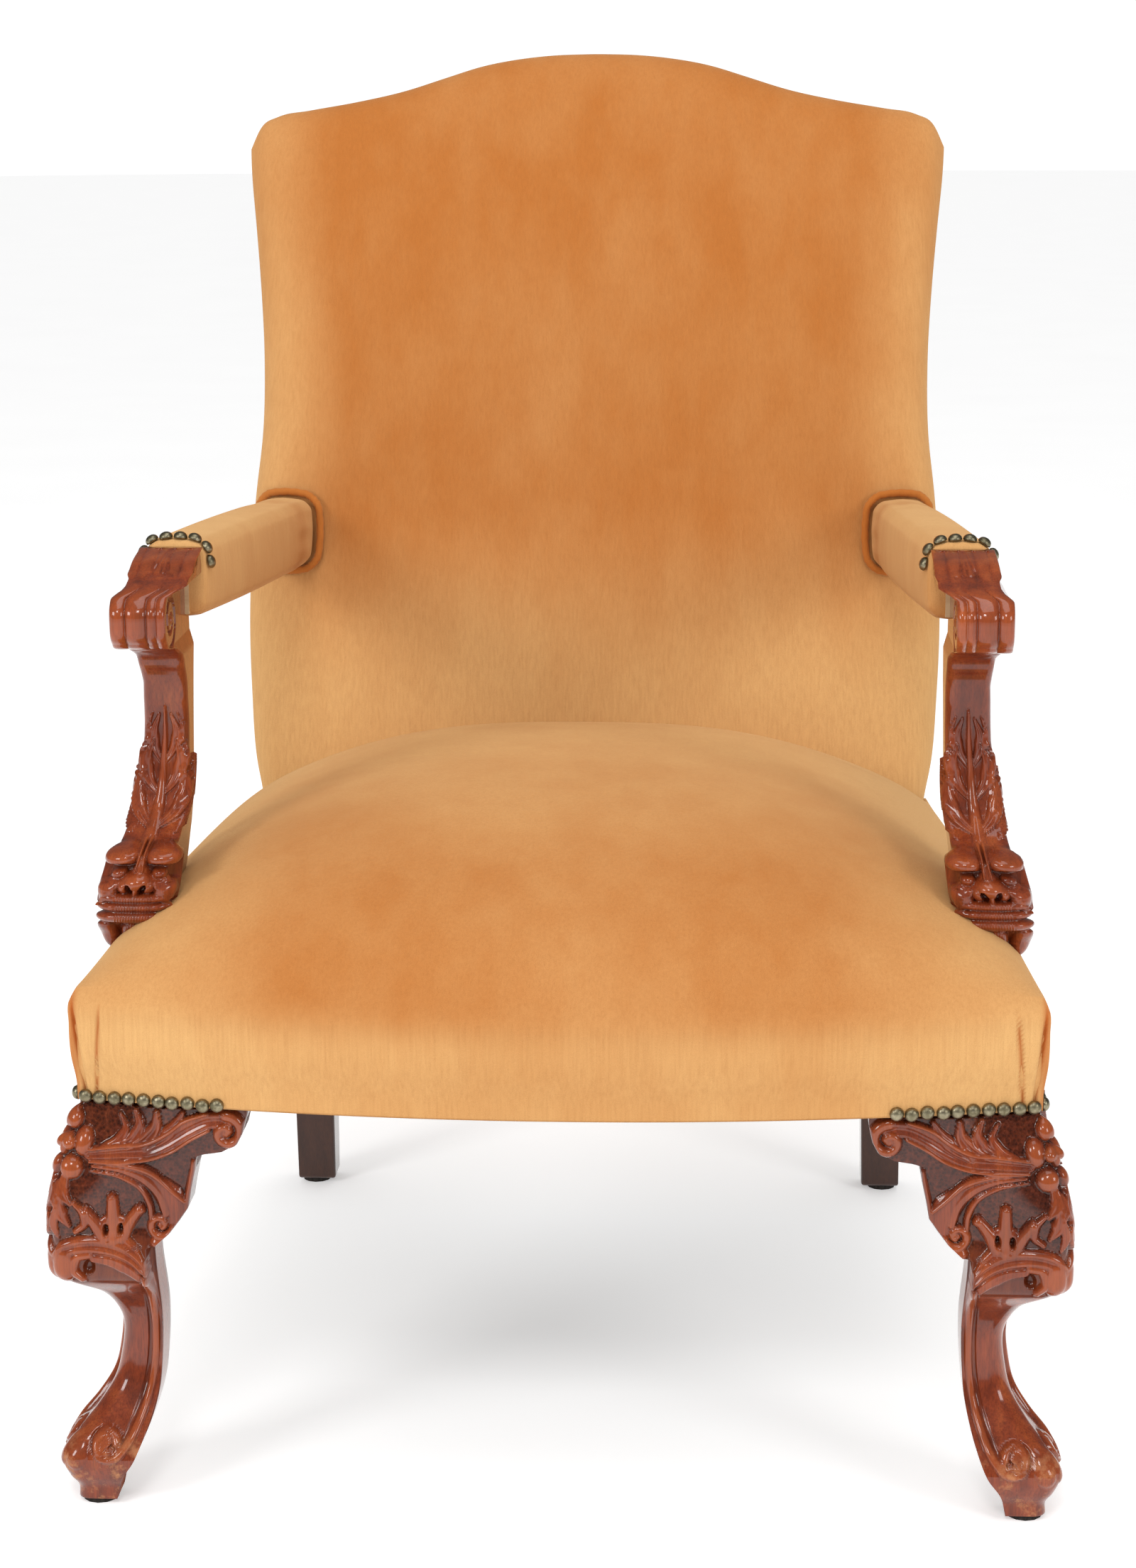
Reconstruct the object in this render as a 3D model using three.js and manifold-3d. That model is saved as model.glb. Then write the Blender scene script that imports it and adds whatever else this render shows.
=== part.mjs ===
// An upholstered open armchair with carved cabriole front legs, in millimetres, +Z up, its front towards -Y.
// Every piece is drawn in the bench frame: X = 0 on the chair's middle, Y = 0 through the front feet, Z = 0
// on the floor. The exported group then moves back so that Y = 0 is the middle of the chair's depth.
// Left and right are as seen from the front. A left-hand piece is drawn, and its right-hand twin is its
// mirror.
import * as THREE from "three";
import { mergeVertices } from "three/addons/utils/BufferGeometryUtils.js";
import Module from "manifold-3d";

const wasm = await Module();
wasm.setup();

// ---- Driving sizes ----
const FRONT_FOOT_X = 322; // middle of a front foot from the middle of the chair
const REAR_FOOT_X = 254;
const SEAT_DEPTH = 548; // front feet to the front face of the rear posts, at the seat rails
const RAIL_BOTTOM = 292; // underside of the seat rails from the floor
const RAIL_HEIGHT = 62;
const RAIL_THICK = 28;
const BACK_LENGTH = 550; // rear post above the seat rails, along its slope
const BACK_RAKE = 11; // degrees from upright
const SEAT_CROWN = 131; // top of the domed seat above the seat rails
const ARM_FRONT = { x: 49 - FRONT_FOOT_X, y: 133, z: 630 }; // middle of the padded arm at its front end
const ARM_REAR = { x: -REAR_FOOT_X, y: SEAT_DEPTH - 8, z: 603 }; // the same, where it meets the back

// ---- Clearances and stock ----
const GAP = 0.4; // between pieces that touch
const COVER_THICK = 2.5; // velvet with its lining
const SHEET_THICK = 1.6; // webbing, hessian and cambric
const GLIDE = { radius: 12.5, height: 4 };
const POST = { thick: 34, width: RAIL_THICK + 8 }; // rear post, front to back and across
const LEG_SIZE = RAIL_THICK + 14; // inner faces of a front leg's square top from the middle of its foot
const LEG_SET_BACK = 5; // outer faces of that square top from the middle of the foot
const NAIL = { radius: 4.9, dome: 3.8, pitch: 10.3, strip: 0.8 };
const TENON = { length: 20, thick: 10, height: 40, slack: 0.4 };
const SCREW = { shank: 2.4, head: 4.6, headHeight: 3, clearance: 0.4 };
const SPRING = { wire: 1.9, end: 36, waist: 26, turns: 3.5 };
const WEB_WIDTH = 50;

const RAIL_TOP = RAIL_BOTTOM + RAIL_HEIGHT;
const RAIL_MIDDLE_Z = (RAIL_BOTTOM + RAIL_TOP) / 2;
const LEG_INNER_X = FRONT_FOOT_X - LEG_SIZE;
const RAKE = THREE.MathUtils.degToRad(BACK_RAKE);

// ---- Materials ----
const material = (color, roughness, metalness = 0) =>
  new THREE.MeshStandardMaterial({ color, roughness, metalness });
const mahogany = material(0x8a3a1c, 0.28);
const beech = material(0xc9a878, 0.7);
const velvet = material(0xcc8238, 0.9);
const padding = material(0xd8cdb8, 1);
const jute = material(0xa88a5c, 1);
const cambric = material(0x1c1a19, 0.95);
const brass = material(0x8d7c55, 0.35, 1);
const steel = material(0x9a9a98, 0.4, 1);
const felt = material(0x241f1c, 1);

// ---- Solids ----
function solid(geometry) {
  const bare = geometry.index ? geometry.toNonIndexed() : geometry.clone();
  bare.deleteAttribute("normal");
  bare.deleteAttribute("uv");
  const merged = mergeVertices(bare, 1e-3);
  const triVerts = new Uint32Array(merged.index.array);
  const vertProperties = merged.getAttribute("position").array;
  return new wasm.Manifold(new wasm.Mesh({ numProp: 3, vertProperties, triVerts }));
}

function geometryOf(manifold) {
  const mesh = manifold.getMesh();
  const geometry = new THREE.BufferGeometry();
  geometry.setAttribute("position", new THREE.BufferAttribute(new Float32Array(mesh.vertProperties), 3));
  geometry.setIndex(new THREE.BufferAttribute(new Uint32Array(mesh.triVerts), 1));
  return geometry;
}

const shapeOf = (outline) => new THREE.Shape(outline.map(([a, b]) => new THREE.Vector2(a, b)));
const extruded = (outline, depth) =>
  new THREE.ExtrudeGeometry(shapeOf(outline), { depth, bevelEnabled: false });

// An outline of (x, z) points, carried from y0 to y1.
function slabAlongY(outline, y0, y1) {
  return solid(extruded(outline, y1 - y0).rotateX(Math.PI / 2).translate(0, y1, 0));
}

// An outline of (y, z) points, carried from x0 to x1.
function slabAlongX(outline, x0, x1) {
  const toX = new THREE.Vector3(0, 1, 0);
  const toY = new THREE.Vector3(0, 0, 1);
  const toZ = new THREE.Vector3(1, 0, 0);
  const turn = new THREE.Matrix4().makeBasis(toX, toY, toZ);
  return solid(extruded(outline, x1 - x0).applyMatrix4(turn).translate(x0, 0, 0));
}

// An outline of (x, y) points, carried from z0 to z1.
function slabAlongZ(outline, z0, z1) {
  return solid(extruded(outline, z1 - z0).translate(0, 0, z0));
}

function block(x0, x1, y0, y1, z0, z1) {
  const box = new THREE.BoxGeometry(x1 - x0, y1 - y0, z1 - z0);
  return solid(box.translate((x0 + x1) / 2, (y0 + y1) / 2, (z0 + z1) / 2));
}

// A rod from one point to another.
function rod(from, to, radius, sides = 8) {
  const along = new THREE.Vector3().subVectors(to, from);
  const up = new THREE.Vector3(0, 1, 0);
  const turn = new THREE.Quaternion().setFromUnitVectors(up, along.clone().normalize());
  const cylinder = new THREE.CylinderGeometry(radius, radius, along.length(), sides).applyQuaternion(turn);
  const middle = from.clone().add(to).multiplyScalar(0.5);
  return solid(cylinder.translate(middle.x, middle.y, middle.z));
}

// A box of nx by ny by nz panels, its corners moved by a function of s, q and t, each from 0 to 1.
function mappedBox(nx, ny, nz, place) {
  const box = new THREE.BoxGeometry(1, 1, 1, nx, ny, nz).translate(0.5, 0.5, 0.5);
  const at = box.getAttribute("position");
  for (let i = 0; i < at.count; i += 1) {
    at.setXYZ(i, ...place(at.getX(i), at.getY(i), at.getZ(i)));
  }
  return solid(box);
}

// A smooth line through a few points, as [a, b] pairs.
function smooth(points, steps) {
  const curve = new THREE.SplineCurve(points.map(([a, b]) => new THREE.Vector2(a, b)));
  return curve.getPoints(steps).map((p) => [p.x, p.y]);
}

// A value read off a line of [position, value] pairs.
function readOff(pairs, position) {
  const last = pairs.length - 1;
  if (position <= pairs[0][0]) return pairs[0][1];
  if (position >= pairs[last][0]) return pairs[last][1];
  const i = pairs.findIndex(([at]) => at > position) - 1;
  const [[a, va], [b, vb]] = [pairs[i], pairs[i + 1]];
  return THREE.MathUtils.lerp(va, vb, (position - a) / (b - a));
}

const mirrored = (manifold) => manifold.mirror([1, 0, 0]);
const spread = (count, from, to) =>
  Array.from({ length: count + 1 }, (_, i) => THREE.MathUtils.lerp(from, to, i / count));
const rounded = (u, power, root) => Math.max(0, 1 - Math.min(1, Math.abs(u)) ** power) ** root;

// ---- The chair as a scene graph ----
const chair = new THREE.Group();

function add(name, manifold, look) {
  const mesh = new THREE.Mesh(geometryOf(manifold), look);
  mesh.name = name;
  chair.add(mesh);
}

function addPair(name, manifold, look) {
  add(`${name}_left`, manifold, look);
  add(`${name}_right`, mirrored(manifold), look);
}

// ---- The slope of the back: a frame whose third axis runs up the rear posts ----
const onBack = new THREE.Matrix4()
  .makeTranslation(0, SEAT_DEPTH, RAIL_TOP)
  .multiply(new THREE.Matrix4().makeRotationX(-RAKE));
const raked = (manifold) => manifold.transform(onBack.elements);
const backPoint = (v, w) => {
  const p = new THREE.Vector3(0, v, w).applyMatrix4(onBack);
  return [p.y, p.z];
};

// How far the upholstered back reaches beyond the rear feet at a height along its slope, for a back of
// unit length, and how far its top edge rises above the posts at an x, for a top edge of unit half width.
const BACK_SIDES = [
  [-0.13, 22], [0, 22], [0.04, 24], [0.1, 30], [0.2, 34], [0.31, 36], [0.39, 35], [0.5, 31], [0.6, 25],
  [0.71, 24], [0.82, 27], [0.91, 31], [0.99, 35], [1.2, 35],
];
const CREST = [
  [0, 94], [0.12, 93], [0.22, 90], [0.33, 84], [0.43, 75], [0.55, 64], [0.69, 55], [0.83, 48], [0.92, 43],
  [0.97, 34], [1, 16],
];
const BACK_PAD = 44; // front of the padded back from the front of the posts
const BACK_BULGE = 9;
const BACK_START = 14; // lower edge of the back's cover, above the seat rails along the slope
const POST_INSET = 14; // side of a post from the side of the cover
const backHalfWidth = (w) => REAR_FOOT_X + readOff(BACK_SIDES, w / BACK_LENGTH);
const TOP_HALF_WIDTH = backHalfWidth(BACK_LENGTH);
const crestHeight = (x) => BACK_LENGTH + readOff(CREST, Math.abs(x) / TOP_HALF_WIDTH);

// The padded back, drawn in the slope's frame, taken in all round by inset and carried back to rear.
function backForm(inset, rear, bottom) {
  return mappedBox(12, 1, 12, (s, q, t) => {
    const side = Math.sin((2 * s - 1) * 1.4) / Math.sin(1.4);
    const level = BACK_START + t * (crestHeight(side * TOP_HALF_WIDTH) - BACK_START - inset);
    const w = t > 0 ? level : bottom;
    const x = side * (backHalfWidth(level) - inset);
    const edge = rounded(side, 10, 0.45) * rounded(t, 12, 0.45);
    const bulge = BACK_BULGE * (1 - side * side) * Math.sin(Math.PI * Math.min(1, t * 1.1 + 0.05));
    const front = -(8 + (BACK_PAD - 8) * edge + bulge) + inset;
    return [x, q < 0.5 ? front : rear, w];
  });
}

const behindBack = (gap) => raked(backForm(-gap, 300, BACK_START - 22));

// ---- The seat: a dome over the rails, with sides that go down to their lower edge ----
const SEAT_MIDDLE_Y = SEAT_DEPTH * 0.43;
const SEAT_BOW = 36; // how far the middle of the front edge stands in front of its corners
const SEAT_OVERHANG = 4; // cover's corner beyond the front legs' square tops
const SEAT_HALF_FRONT = FRONT_FOOT_X + SEAT_OVERHANG;
const SEAT_HALF_REAR = REAR_FOOT_X + 31;
const SEAT_BACK_Y = SEAT_DEPTH + 27;
const SEAT_EDGE = RAIL_TOP + 18; // where the sides turn into the dome
const SEAT_SWELL = 7; // how far the sides swell above the tacked edge
const seatHalfWidth = (y) =>
  THREE.MathUtils.lerp(SEAT_HALF_FRONT, SEAT_HALF_REAR, Math.max(0, y) / SEAT_DEPTH);
const seatFront = (x) => -SEAT_OVERHANG - SEAT_BOW * (1 - (x / SEAT_HALF_FRONT) ** 2);

function seatForm(inset, bottom) {
  const levels = [0, 0.16, 0.45, 0.75, 0.95];
  const swells = [0, 0, 0.9, 1, 0.6];
  const last = levels.length;
  return mappedBox(12, 12, last, (s, q, t) => {
    const side = 2 * s - 1;
    const level = Math.round(t * last);
    const swell = level === last ? -3 : SEAT_SWELL * swells[level];
    const rough = THREE.MathUtils.lerp(-SEAT_OVERHANG, SEAT_BACK_Y, q);
    const x = side * (seatHalfWidth(rough) - inset);
    const front = seatFront(x) + inset;
    const y = THREE.MathUtils.lerp(front, SEAT_BACK_Y + (inset > 0 ? 30 : 0), q) - swell * (1 - q) ** 3;
    const edgeX = x + swell * 0.35 * side ** 9;
    const reach = y < SEAT_MIDDLE_Y ? SEAT_MIDDLE_Y - front : SEAT_BACK_Y - SEAT_MIDDLE_Y;
    const crown = rounded(side, 2.8, 0.7) * rounded((y - SEAT_MIDDLE_Y) / reach, 2.8, 0.7);
    const top = SEAT_EDGE + (RAIL_TOP + SEAT_CROWN - SEAT_EDGE) * crown - inset;
    const wall = THREE.MathUtils.lerp(RAIL_BOTTOM, SEAT_EDGE - inset, levels[Math.min(level, last - 1)]);
    return [edgeX, y, level === 0 ? bottom : level === last ? top : wall];
  });
}

// ---- Front legs: square cabriole legs, sawn to one outline from the front and from the side ----
// Each pair is a height from the floor, and a distance outwards from the middle of the foot.
const LEG_TOP = RAIL_BOTTOM - GAP;
const LEG_SCALE = LEG_TOP / 291.6;
const LEG_OUTER = [
  [4, 14], [12, 14], [22, 19], [35, 22.5], [50, 15], [65, 2], [80, -8], [100, -13.5], [132, -13],
  [150, -3], [168, 18], [190, 23.5], [220, 24], [252, 17], [291.6, 5],
].map(([z, out]) => [z * LEG_SCALE, out]);
const LEG_INNER = [
  [291.6, -LEG_SIZE], [170, -LEG_SIZE], [130, -45], [100, -44], [74, -41], [50, -34], [36, -28], [20, -18],
  [4, -14],
].map(([z, out]) => [z * LEG_SCALE, out]);
const CORNER_CHAMFER = 12;

function frontLeg() {
  const curve = smooth(LEG_OUTER, 22);
  // The square top that the rails join.
  const stump = [[LEG_TOP, -LEG_SET_BACK], [RAIL_TOP, -LEG_SET_BACK], [RAIL_TOP, -LEG_SIZE]];
  const outline = [...curve, ...stump, ...LEG_INNER];
  const fromFront = slabAlongY(outline.map(([z, out]) => [-(FRONT_FOOT_X + out), z]), -60, 80);
  const fromSide = slabAlongX(outline.map(([z, out]) => [-out, z]), -FRONT_FOOT_X - 60, -FRONT_FOOT_X + 80);
  const corner = curve.map(([z, out]) => [-(2 * out - CORNER_CHAMFER) / Math.SQRT2, z]);
  const behind = [[-1, LEG_TOP], [-1, RAIL_TOP + 1], [200, RAIL_TOP + 1], [200, 0], [corner[0][0], 0]];
  const chamfer = slabAlongX([...corner, ...behind], -120, 120)
    .rotate([0, 0, -45])
    .translate([-FRONT_FOOT_X, 0, 0]);
  return fromFront.intersect(fromSide).intersect(chamfer);
}

// ---- Knee brackets: scrolled ears that carry the knee along under the rails ----
// Each pair is a distance in from the face of the leg, and a depth below the rails.
const EAR = [
  [0, 0], [69, 0], [70, 8], [68, 17], [64, 25], [53, 31], [42, 32], [36, 34], [35, 44], [32, 59], [30, 71],
  [24, 80], [17, 89], [8, 97], [0, 100],
];
const earOutline = EAR.map(([inwards, depth]) => [LEG_SIZE + GAP + inwards, LEG_TOP - depth]);
const EAR_FACE = 17;
const EAR_BACK = 13;
const frontEar = () =>
  slabAlongY(earOutline.map(([inwards, z]) => [inwards - FRONT_FOOT_X, z]), -EAR_FACE, EAR_BACK);
const sideEar = () => slabAlongX(earOutline, -FRONT_FOOT_X - EAR_FACE, -FRONT_FOOT_X + EAR_BACK);

// ---- Rear posts: back leg and back upright in one length ----
const POST_FOOT_Y = SEAT_DEPTH + 92;
const POST_OUTER_X = REAR_FOOT_X + 10;
const POST_INNER_X = POST_OUTER_X - POST.width;
const postOuter = (w) => Math.max(POST_OUTER_X, backHalfWidth(w) - POST_INSET);
const postLevels = [0, 0.04, 0.1, 0.2, 0.31, 0.39, 0.5, 0.6, 0.71, 0.82, 0.91, 1].map((u) => u * BACK_LENGTH);

function rearPost() {
  const knee = 0.5 * RAIL_BOTTOM;
  const foot = [[POST_FOOT_Y - 15, GLIDE.height], [POST_FOOT_Y + 15, GLIDE.height]];
  const seatRear = SEAT_DEPTH + POST.thick + 14;
  const rear = [[POST_FOOT_Y - 10, knee], [seatRear, RAIL_BOTTOM], backPoint(POST.thick, 20)];
  const top = [backPoint(POST.thick, BACK_LENGTH), backPoint(0, BACK_LENGTH), backPoint(0, 0)];
  const front = [[SEAT_DEPTH, RAIL_BOTTOM], [POST_FOOT_Y - 46, knee]];
  const fromSide = slabAlongX([...foot, ...rear, ...top, ...front], -2 * REAR_FOOT_X, 0);
  const outer = postLevels.map((w) => [-postOuter(w), w]);
  const inner = postLevels.map((w) => [POST.width - postOuter(w), w]).reverse();
  const floor = -RAIL_TOP - 60;
  const feet = [[16 - REAR_FOOT_X, floor], [-16 - REAR_FOOT_X, floor], [-POST_OUTER_X, -RAIL_HEIGHT]];
  const across = [...outer, ...inner, [-POST_INNER_X, -RAIL_HEIGHT], ...feet];
  return fromSide.intersect(raked(slabAlongY(across, -250, 300)));
}

// ---- Seat rails with their tenons ----
const RAIL_BOW = SEAT_BOW - 3;
const railFront = (x) => LEG_SET_BACK - 1 - RAIL_BOW * (1 - (x / LEG_INNER_X) ** 2);
const FRONT_TENON_Y = LEG_SET_BACK + 13;
const REAR_RAIL_Y = SEAT_DEPTH + 38 - RAIL_THICK / 2;
const REAR_TENON_Y = REAR_RAIL_Y + 2;

// A tenon at each end of a rail that is 2 * half long between its shoulders.
function tenons(half, y, z, height, slack) {
  const [thick, tall] = [TENON.thick / 2 + slack, height / 2 + slack];
  const stub = block(-half - TENON.length - slack, -half + 8, y - thick, y + thick, z - tall, z + tall);
  return stub.add(mirrored(stub));
}

function frontRailBody(slack = 0) {
  const half = LEG_INNER_X - GAP + slack;
  const outer = spread(10, -half, half).map((x) => [x, railFront(x) - slack]);
  const inner = outer.map(([x, y]) => [x, y + RAIL_THICK + 6 + 2 * slack]).reverse();
  return slabAlongZ([...outer, ...inner], RAIL_BOTTOM - slack, RAIL_TOP + slack);
}

const frontTenons = (slack) => tenons(LEG_INNER_X, FRONT_TENON_Y, RAIL_MIDDLE_Z, TENON.height, slack);

// A side rail runs straight from the back of a front leg to the front of a rear post.
const SIDE_FRONT = { x: LEG_SET_BACK + 4 + RAIL_THICK / 2 - FRONT_FOOT_X, y: LEG_SIZE + GAP };
const SIDE_REAR = { x: 4 + RAIL_THICK / 2 - POST_OUTER_X, y: SEAT_DEPTH - GAP };
const SIDE_SLOPE = (SIDE_REAR.x - SIDE_FRONT.x) / (SIDE_REAR.y - SIDE_FRONT.y);
const sideMiddle = (y) => SIDE_FRONT.x + SIDE_SLOPE * (y - SIDE_FRONT.y);

function sideStrip(y0, y1, thick, z0, z1) {
  const half = thick / 2;
  const [x0, x1] = [sideMiddle(y0), sideMiddle(y1)];
  return slabAlongZ([[x0 - half, y0], [x0 + half, y0], [x1 + half, y1], [x1 - half, y1]], z0, z1);
}

function sideTenons(slack = 0) {
  const tall = TENON.height / 2 + slack;
  const [z0, z1] = [RAIL_MIDDLE_Z - tall, RAIL_MIDDLE_Z + tall];
  const strip = (y0, y1) => sideStrip(y0, y1, TENON.thick + 2 * slack, z0, z1);
  const front = strip(SIDE_FRONT.y - 15 - slack, SIDE_FRONT.y + 8);
  return front.add(strip(SIDE_REAR.y - 8, SIDE_REAR.y + 12 + slack));
}

const rearTenons = (slack) => tenons(POST_INNER_X, REAR_TENON_Y, RAIL_MIDDLE_Z, TENON.height, slack);

function rearRail() {
  const half = POST_INNER_X - GAP;
  const [y0, y1] = [REAR_RAIL_Y - RAIL_THICK / 2, REAR_RAIL_Y + RAIL_THICK / 2];
  return block(-half, half, y0, y1, RAIL_BOTTOM, RAIL_TOP).add(rearTenons(0));
}

// ---- Back rails, drawn in the slope's frame ----
const LOWER_RAIL = { bottom: 44, height: 44, tenonHeight: 28 };
const lowerMiddle = LOWER_RAIL.bottom + LOWER_RAIL.height / 2;
const lowerTenons = (slack) =>
  tenons(postOuter(lowerMiddle) - POST.width, POST.thick / 2, lowerMiddle, LOWER_RAIL.tenonHeight, slack);

function backLowerRail() {
  const levels = [LOWER_RAIL.bottom, 0.1 * BACK_LENGTH, LOWER_RAIL.bottom + LOWER_RAIL.height];
  const side = levels.map((w) => [postOuter(w) - POST.width - GAP, w]);
  const outline = [...side, ...side.map(([x, w]) => [-x, w]).reverse()];
  return raked(slabAlongY(outline, 4, POST.thick - 4).add(lowerTenons(0)));
}

function stubTenon(slack = 0) {
  const middle = POST.width / 2 - postOuter(BACK_LENGTH);
  const [half, thick] = [TENON.thick + slack, TENON.thick / 2 + slack];
  const centre = POST.thick / 2;
  const top = BACK_LENGTH + 14 + slack;
  return raked(block(middle - half, middle + half, centre - thick, centre + thick, BACK_LENGTH - 6, top));
}

function crestRail() {
  const half = postOuter(BACK_LENGTH);
  const topEdge = spread(20, half, -half).map((x) => [x, crestHeight(x) - 9 - 16 * (x / half) ** 8]);
  const bottom = BACK_LENGTH + GAP;
  const outline = [[-half, bottom], [half, bottom], ...topEdge];
  const pocket = stubTenon(TENON.slack);
  return raked(slabAlongY(outline, 2, POST.thick - 2)).subtract(pocket).subtract(mirrored(pocket));
}

// ---- Arms: a rail inside a padded sleeve, drawn along its own axis ----
const armFront = new THREE.Vector3(ARM_FRONT.x, ARM_FRONT.y, ARM_FRONT.z);
const armRear = new THREE.Vector3(ARM_REAR.x, ARM_REAR.y, ARM_REAR.z);
const armAlong = new THREE.Vector3().subVectors(armRear, armFront).normalize();
const armSide = new THREE.Vector3().crossVectors(new THREE.Vector3(0, 0, 1), armAlong).normalize();
const armUp = new THREE.Vector3().crossVectors(armAlong, armSide);
const onArm = new THREE.Matrix4().makeBasis(armSide, armUp, armAlong).setPosition(armFront);
const alongArm = (manifold) => manifold.transform(onArm.elements);
const ARM_LENGTH = armFront.distanceTo(armRear);
const ARM_RAIL = { width: 20, height: 22, tenon: 12 };
const ARM_PAD = { halfWidth: 24, halfHeight: 28, corner: 16 };
const armDrop = COVER_THICK + GAP + ARM_RAIL.height / 2 - ARM_PAD.halfHeight;
const PAST_BACK = 160; // far enough along an arm to be behind the rear posts

function sleeve(inset, from, to) {
  const [w, h, r] = [ARM_PAD.halfWidth - inset, ARM_PAD.halfHeight - inset, ARM_PAD.corner - inset];
  const shape = new THREE.Shape();
  shape.absarc(w - r, h - r, r, 0, Math.PI / 2);
  shape.absarc(r - w, h - r, r, Math.PI / 2, Math.PI);
  shape.absarc(r - w, r - h, r, Math.PI, 1.5 * Math.PI);
  shape.absarc(w - r, r - h, r, 1.5 * Math.PI, 2 * Math.PI);
  const bar = new THREE.ExtrudeGeometry(shape, { depth: to - from, bevelEnabled: false, curveSegments: 4 });
  return solid(bar.translate(0, 0, from));
}

function armBar(width, height, from, to, slack = 0) {
  const [w, h] = [width / 2 + slack, height / 2 + slack];
  return block(-w, w, armDrop - h, armDrop + h, from, to);
}

const ARM_END = 14; // the sleeve's last edge, in front of the rear posts
const armTenon = (from, to, slack) => alongArm(armBar(ARM_RAIL.tenon, ARM_RAIL.tenon, from, to, slack));
const behindPosts = (gap) => raked(block(-400, 400, -gap, 300, -400, 900));
const armPassage = alongArm(armBar(ARM_RAIL.width, ARM_RAIL.height, -30, ARM_LENGTH + PAST_BACK, GAP));
const postFaceY = SEAT_DEPTH + Math.tan(RAKE) * (ARM_REAR.z - RAIL_TOP);
const postFaceOnArm = ARM_LENGTH + (postFaceY - ARM_REAR.y) / armAlong.y;

function armRail() {
  const bar = alongArm(armBar(ARM_RAIL.width, ARM_RAIL.height, GAP, ARM_LENGTH + PAST_BACK));
  return bar.subtract(behindPosts(GAP)).add(armTenon(-16, postFaceOnArm + 14, 0));
}

function armPad() {
  const low = armDrop - ARM_RAIL.height / 2;
  const under = alongArm(block(-80, 80, low - 80, low + 4, -20, ARM_LENGTH + PAST_BACK));
  const whole = alongArm(sleeve(COVER_THICK + GAP, 1, ARM_LENGTH + 70));
  const open = whole.subtract(under).subtract(armPassage);
  return open.subtract(behindBack(2)).subtract(behindPosts(ARM_END + 3));
}

const armCover = () =>
  alongArm(sleeve(0, GAP, ARM_LENGTH + 70).subtract(sleeve(COVER_THICK, -30, ARM_LENGTH + 90)))
    .subtract(behindBack(2 * GAP))
    .subtract(behindPosts(ARM_END));

// The corded edge round the arm where it meets the back: a ring drawn round, then let out to the arm's
// section
// and slid along the arm to lie on the face of the back.
function armWelt() {
  const radius = 3.2;
  const ring = new THREE.TorusGeometry(100, radius, 6, 24);
  const at = ring.getAttribute("position");
  const corner = ARM_PAD.corner + radius + 3 * GAP;
  const [w, h] = [ARM_PAD.halfWidth - ARM_PAD.corner, ARM_PAD.halfHeight - ARM_PAD.corner];
  const clamp = (u) => THREE.MathUtils.clamp(2.5 * u, -1, 1);
  for (let i = 0; i < at.count; i += 1) {
    const [x, y, z] = [at.getX(i), at.getY(i), at.getZ(i)];
    const reach = Math.hypot(x, y);
    const [c, s] = [x / reach, y / reach];
    const out = corner + reach - 100;
    const up = h * clamp(s) + out * s;
    const lean = Math.tan(RAKE) * up - BACK_BULGE * 0.6 - radius - 1;
    at.setXYZ(i, w * clamp(c) + out * c, up, ARM_LENGTH + z + lean);
  }
  return alongArm(solid(ring));
}

// ---- Arm supports: sawn to a side outline and a front outline ----
const SUPPORT_FOOT = {
  y0: LEG_SIZE + 22,
  y1: LEG_SIZE + 94,
  inner: FRONT_FOOT_X - 32,
  outer: FRONT_FOOT_X - 12,
};
const armLift = ARM_FRONT.z - 630;
const supportZ = (z) => (z < 460 ? z : z + armLift);
// The side outline as (y, z): up the front from the foot to the top, with the mask and the hand scroll.
const SUPPORT_FRONT = [
  [63, 376], [67, 390], [60, 398], [54, 412], [56, 432], [63, 446], [82, 453], [98, 467], [108, 485],
  [113, 512], [112, 545], [104, 572], [92, 588], [80, 592], [67, 590], [55, 597], [51, 611], [56, 625],
  [72, 634], [92, 641], [110, 648], [ARM_FRONT.y - GAP, 652],
];
const SUPPORT_REAR = [
  [150, 597], [147, 560], [146, 500], [145, 450], [142, 400], [SUPPORT_FOOT.y1, RAIL_TOP + 8],
];
// The front outline as (distance from the chair's middle, z): its outer side upwards, its inner side
// downwards.
const SUPPORT_OUTER = [
  [311, 375], [320, 397], [316, 425], [307, 455], [301, 482], [296, 520], [294, 560], [296, 582], [302, 592],
  [302, 627], [296, 634], [293, 652],
];
const SUPPORT_INNER = [
  [254, 652], [254, 634], [266, 628], [266, 592], [263, 582], [263, 560], [265, 480], [267, 455], [271, 425],
  [278, 395], [283, 375],
];
const armShift = -ARM_FRONT.x - 273;
const supportX = ([x, z]) => [-(x + (z > 460 ? armShift : FRONT_FOOT_X - 322)), supportZ(z)];

function armSupport() {
  const foot = SUPPORT_FOOT;
  const low = RAIL_BOTTOM + 1;
  const side = [
    [foot.y0, low], [foot.y0, RAIL_TOP + 8], ...smooth(SUPPORT_FRONT, 40).map(([y, z]) => [y, supportZ(z)]),
    [ARM_FRONT.y - GAP, supportZ(600)], ...SUPPORT_REAR.map(([y, z]) => [y, supportZ(z)]), [foot.y1, low],
  ];
  const shoulder = [[-foot.inner, RAIL_TOP + GAP], [-foot.inner, low]];
  const outer = smooth(SUPPORT_OUTER, 20).map(supportX);
  const inner = SUPPORT_INNER.map(supportX);
  const front = [[-foot.outer, low], ...outer, ...inner, [8 - foot.inner, RAIL_TOP + GAP]];
  return slabAlongX(side, -420, -200)
    .intersect(slabAlongY([...front, ...shoulder], 20, 220))
    .subtract(alongArm(sleeve(-GAP, -GAP, 60)))
    .subtract(armTenon(-16, 20, TENON.slack));
}

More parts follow.
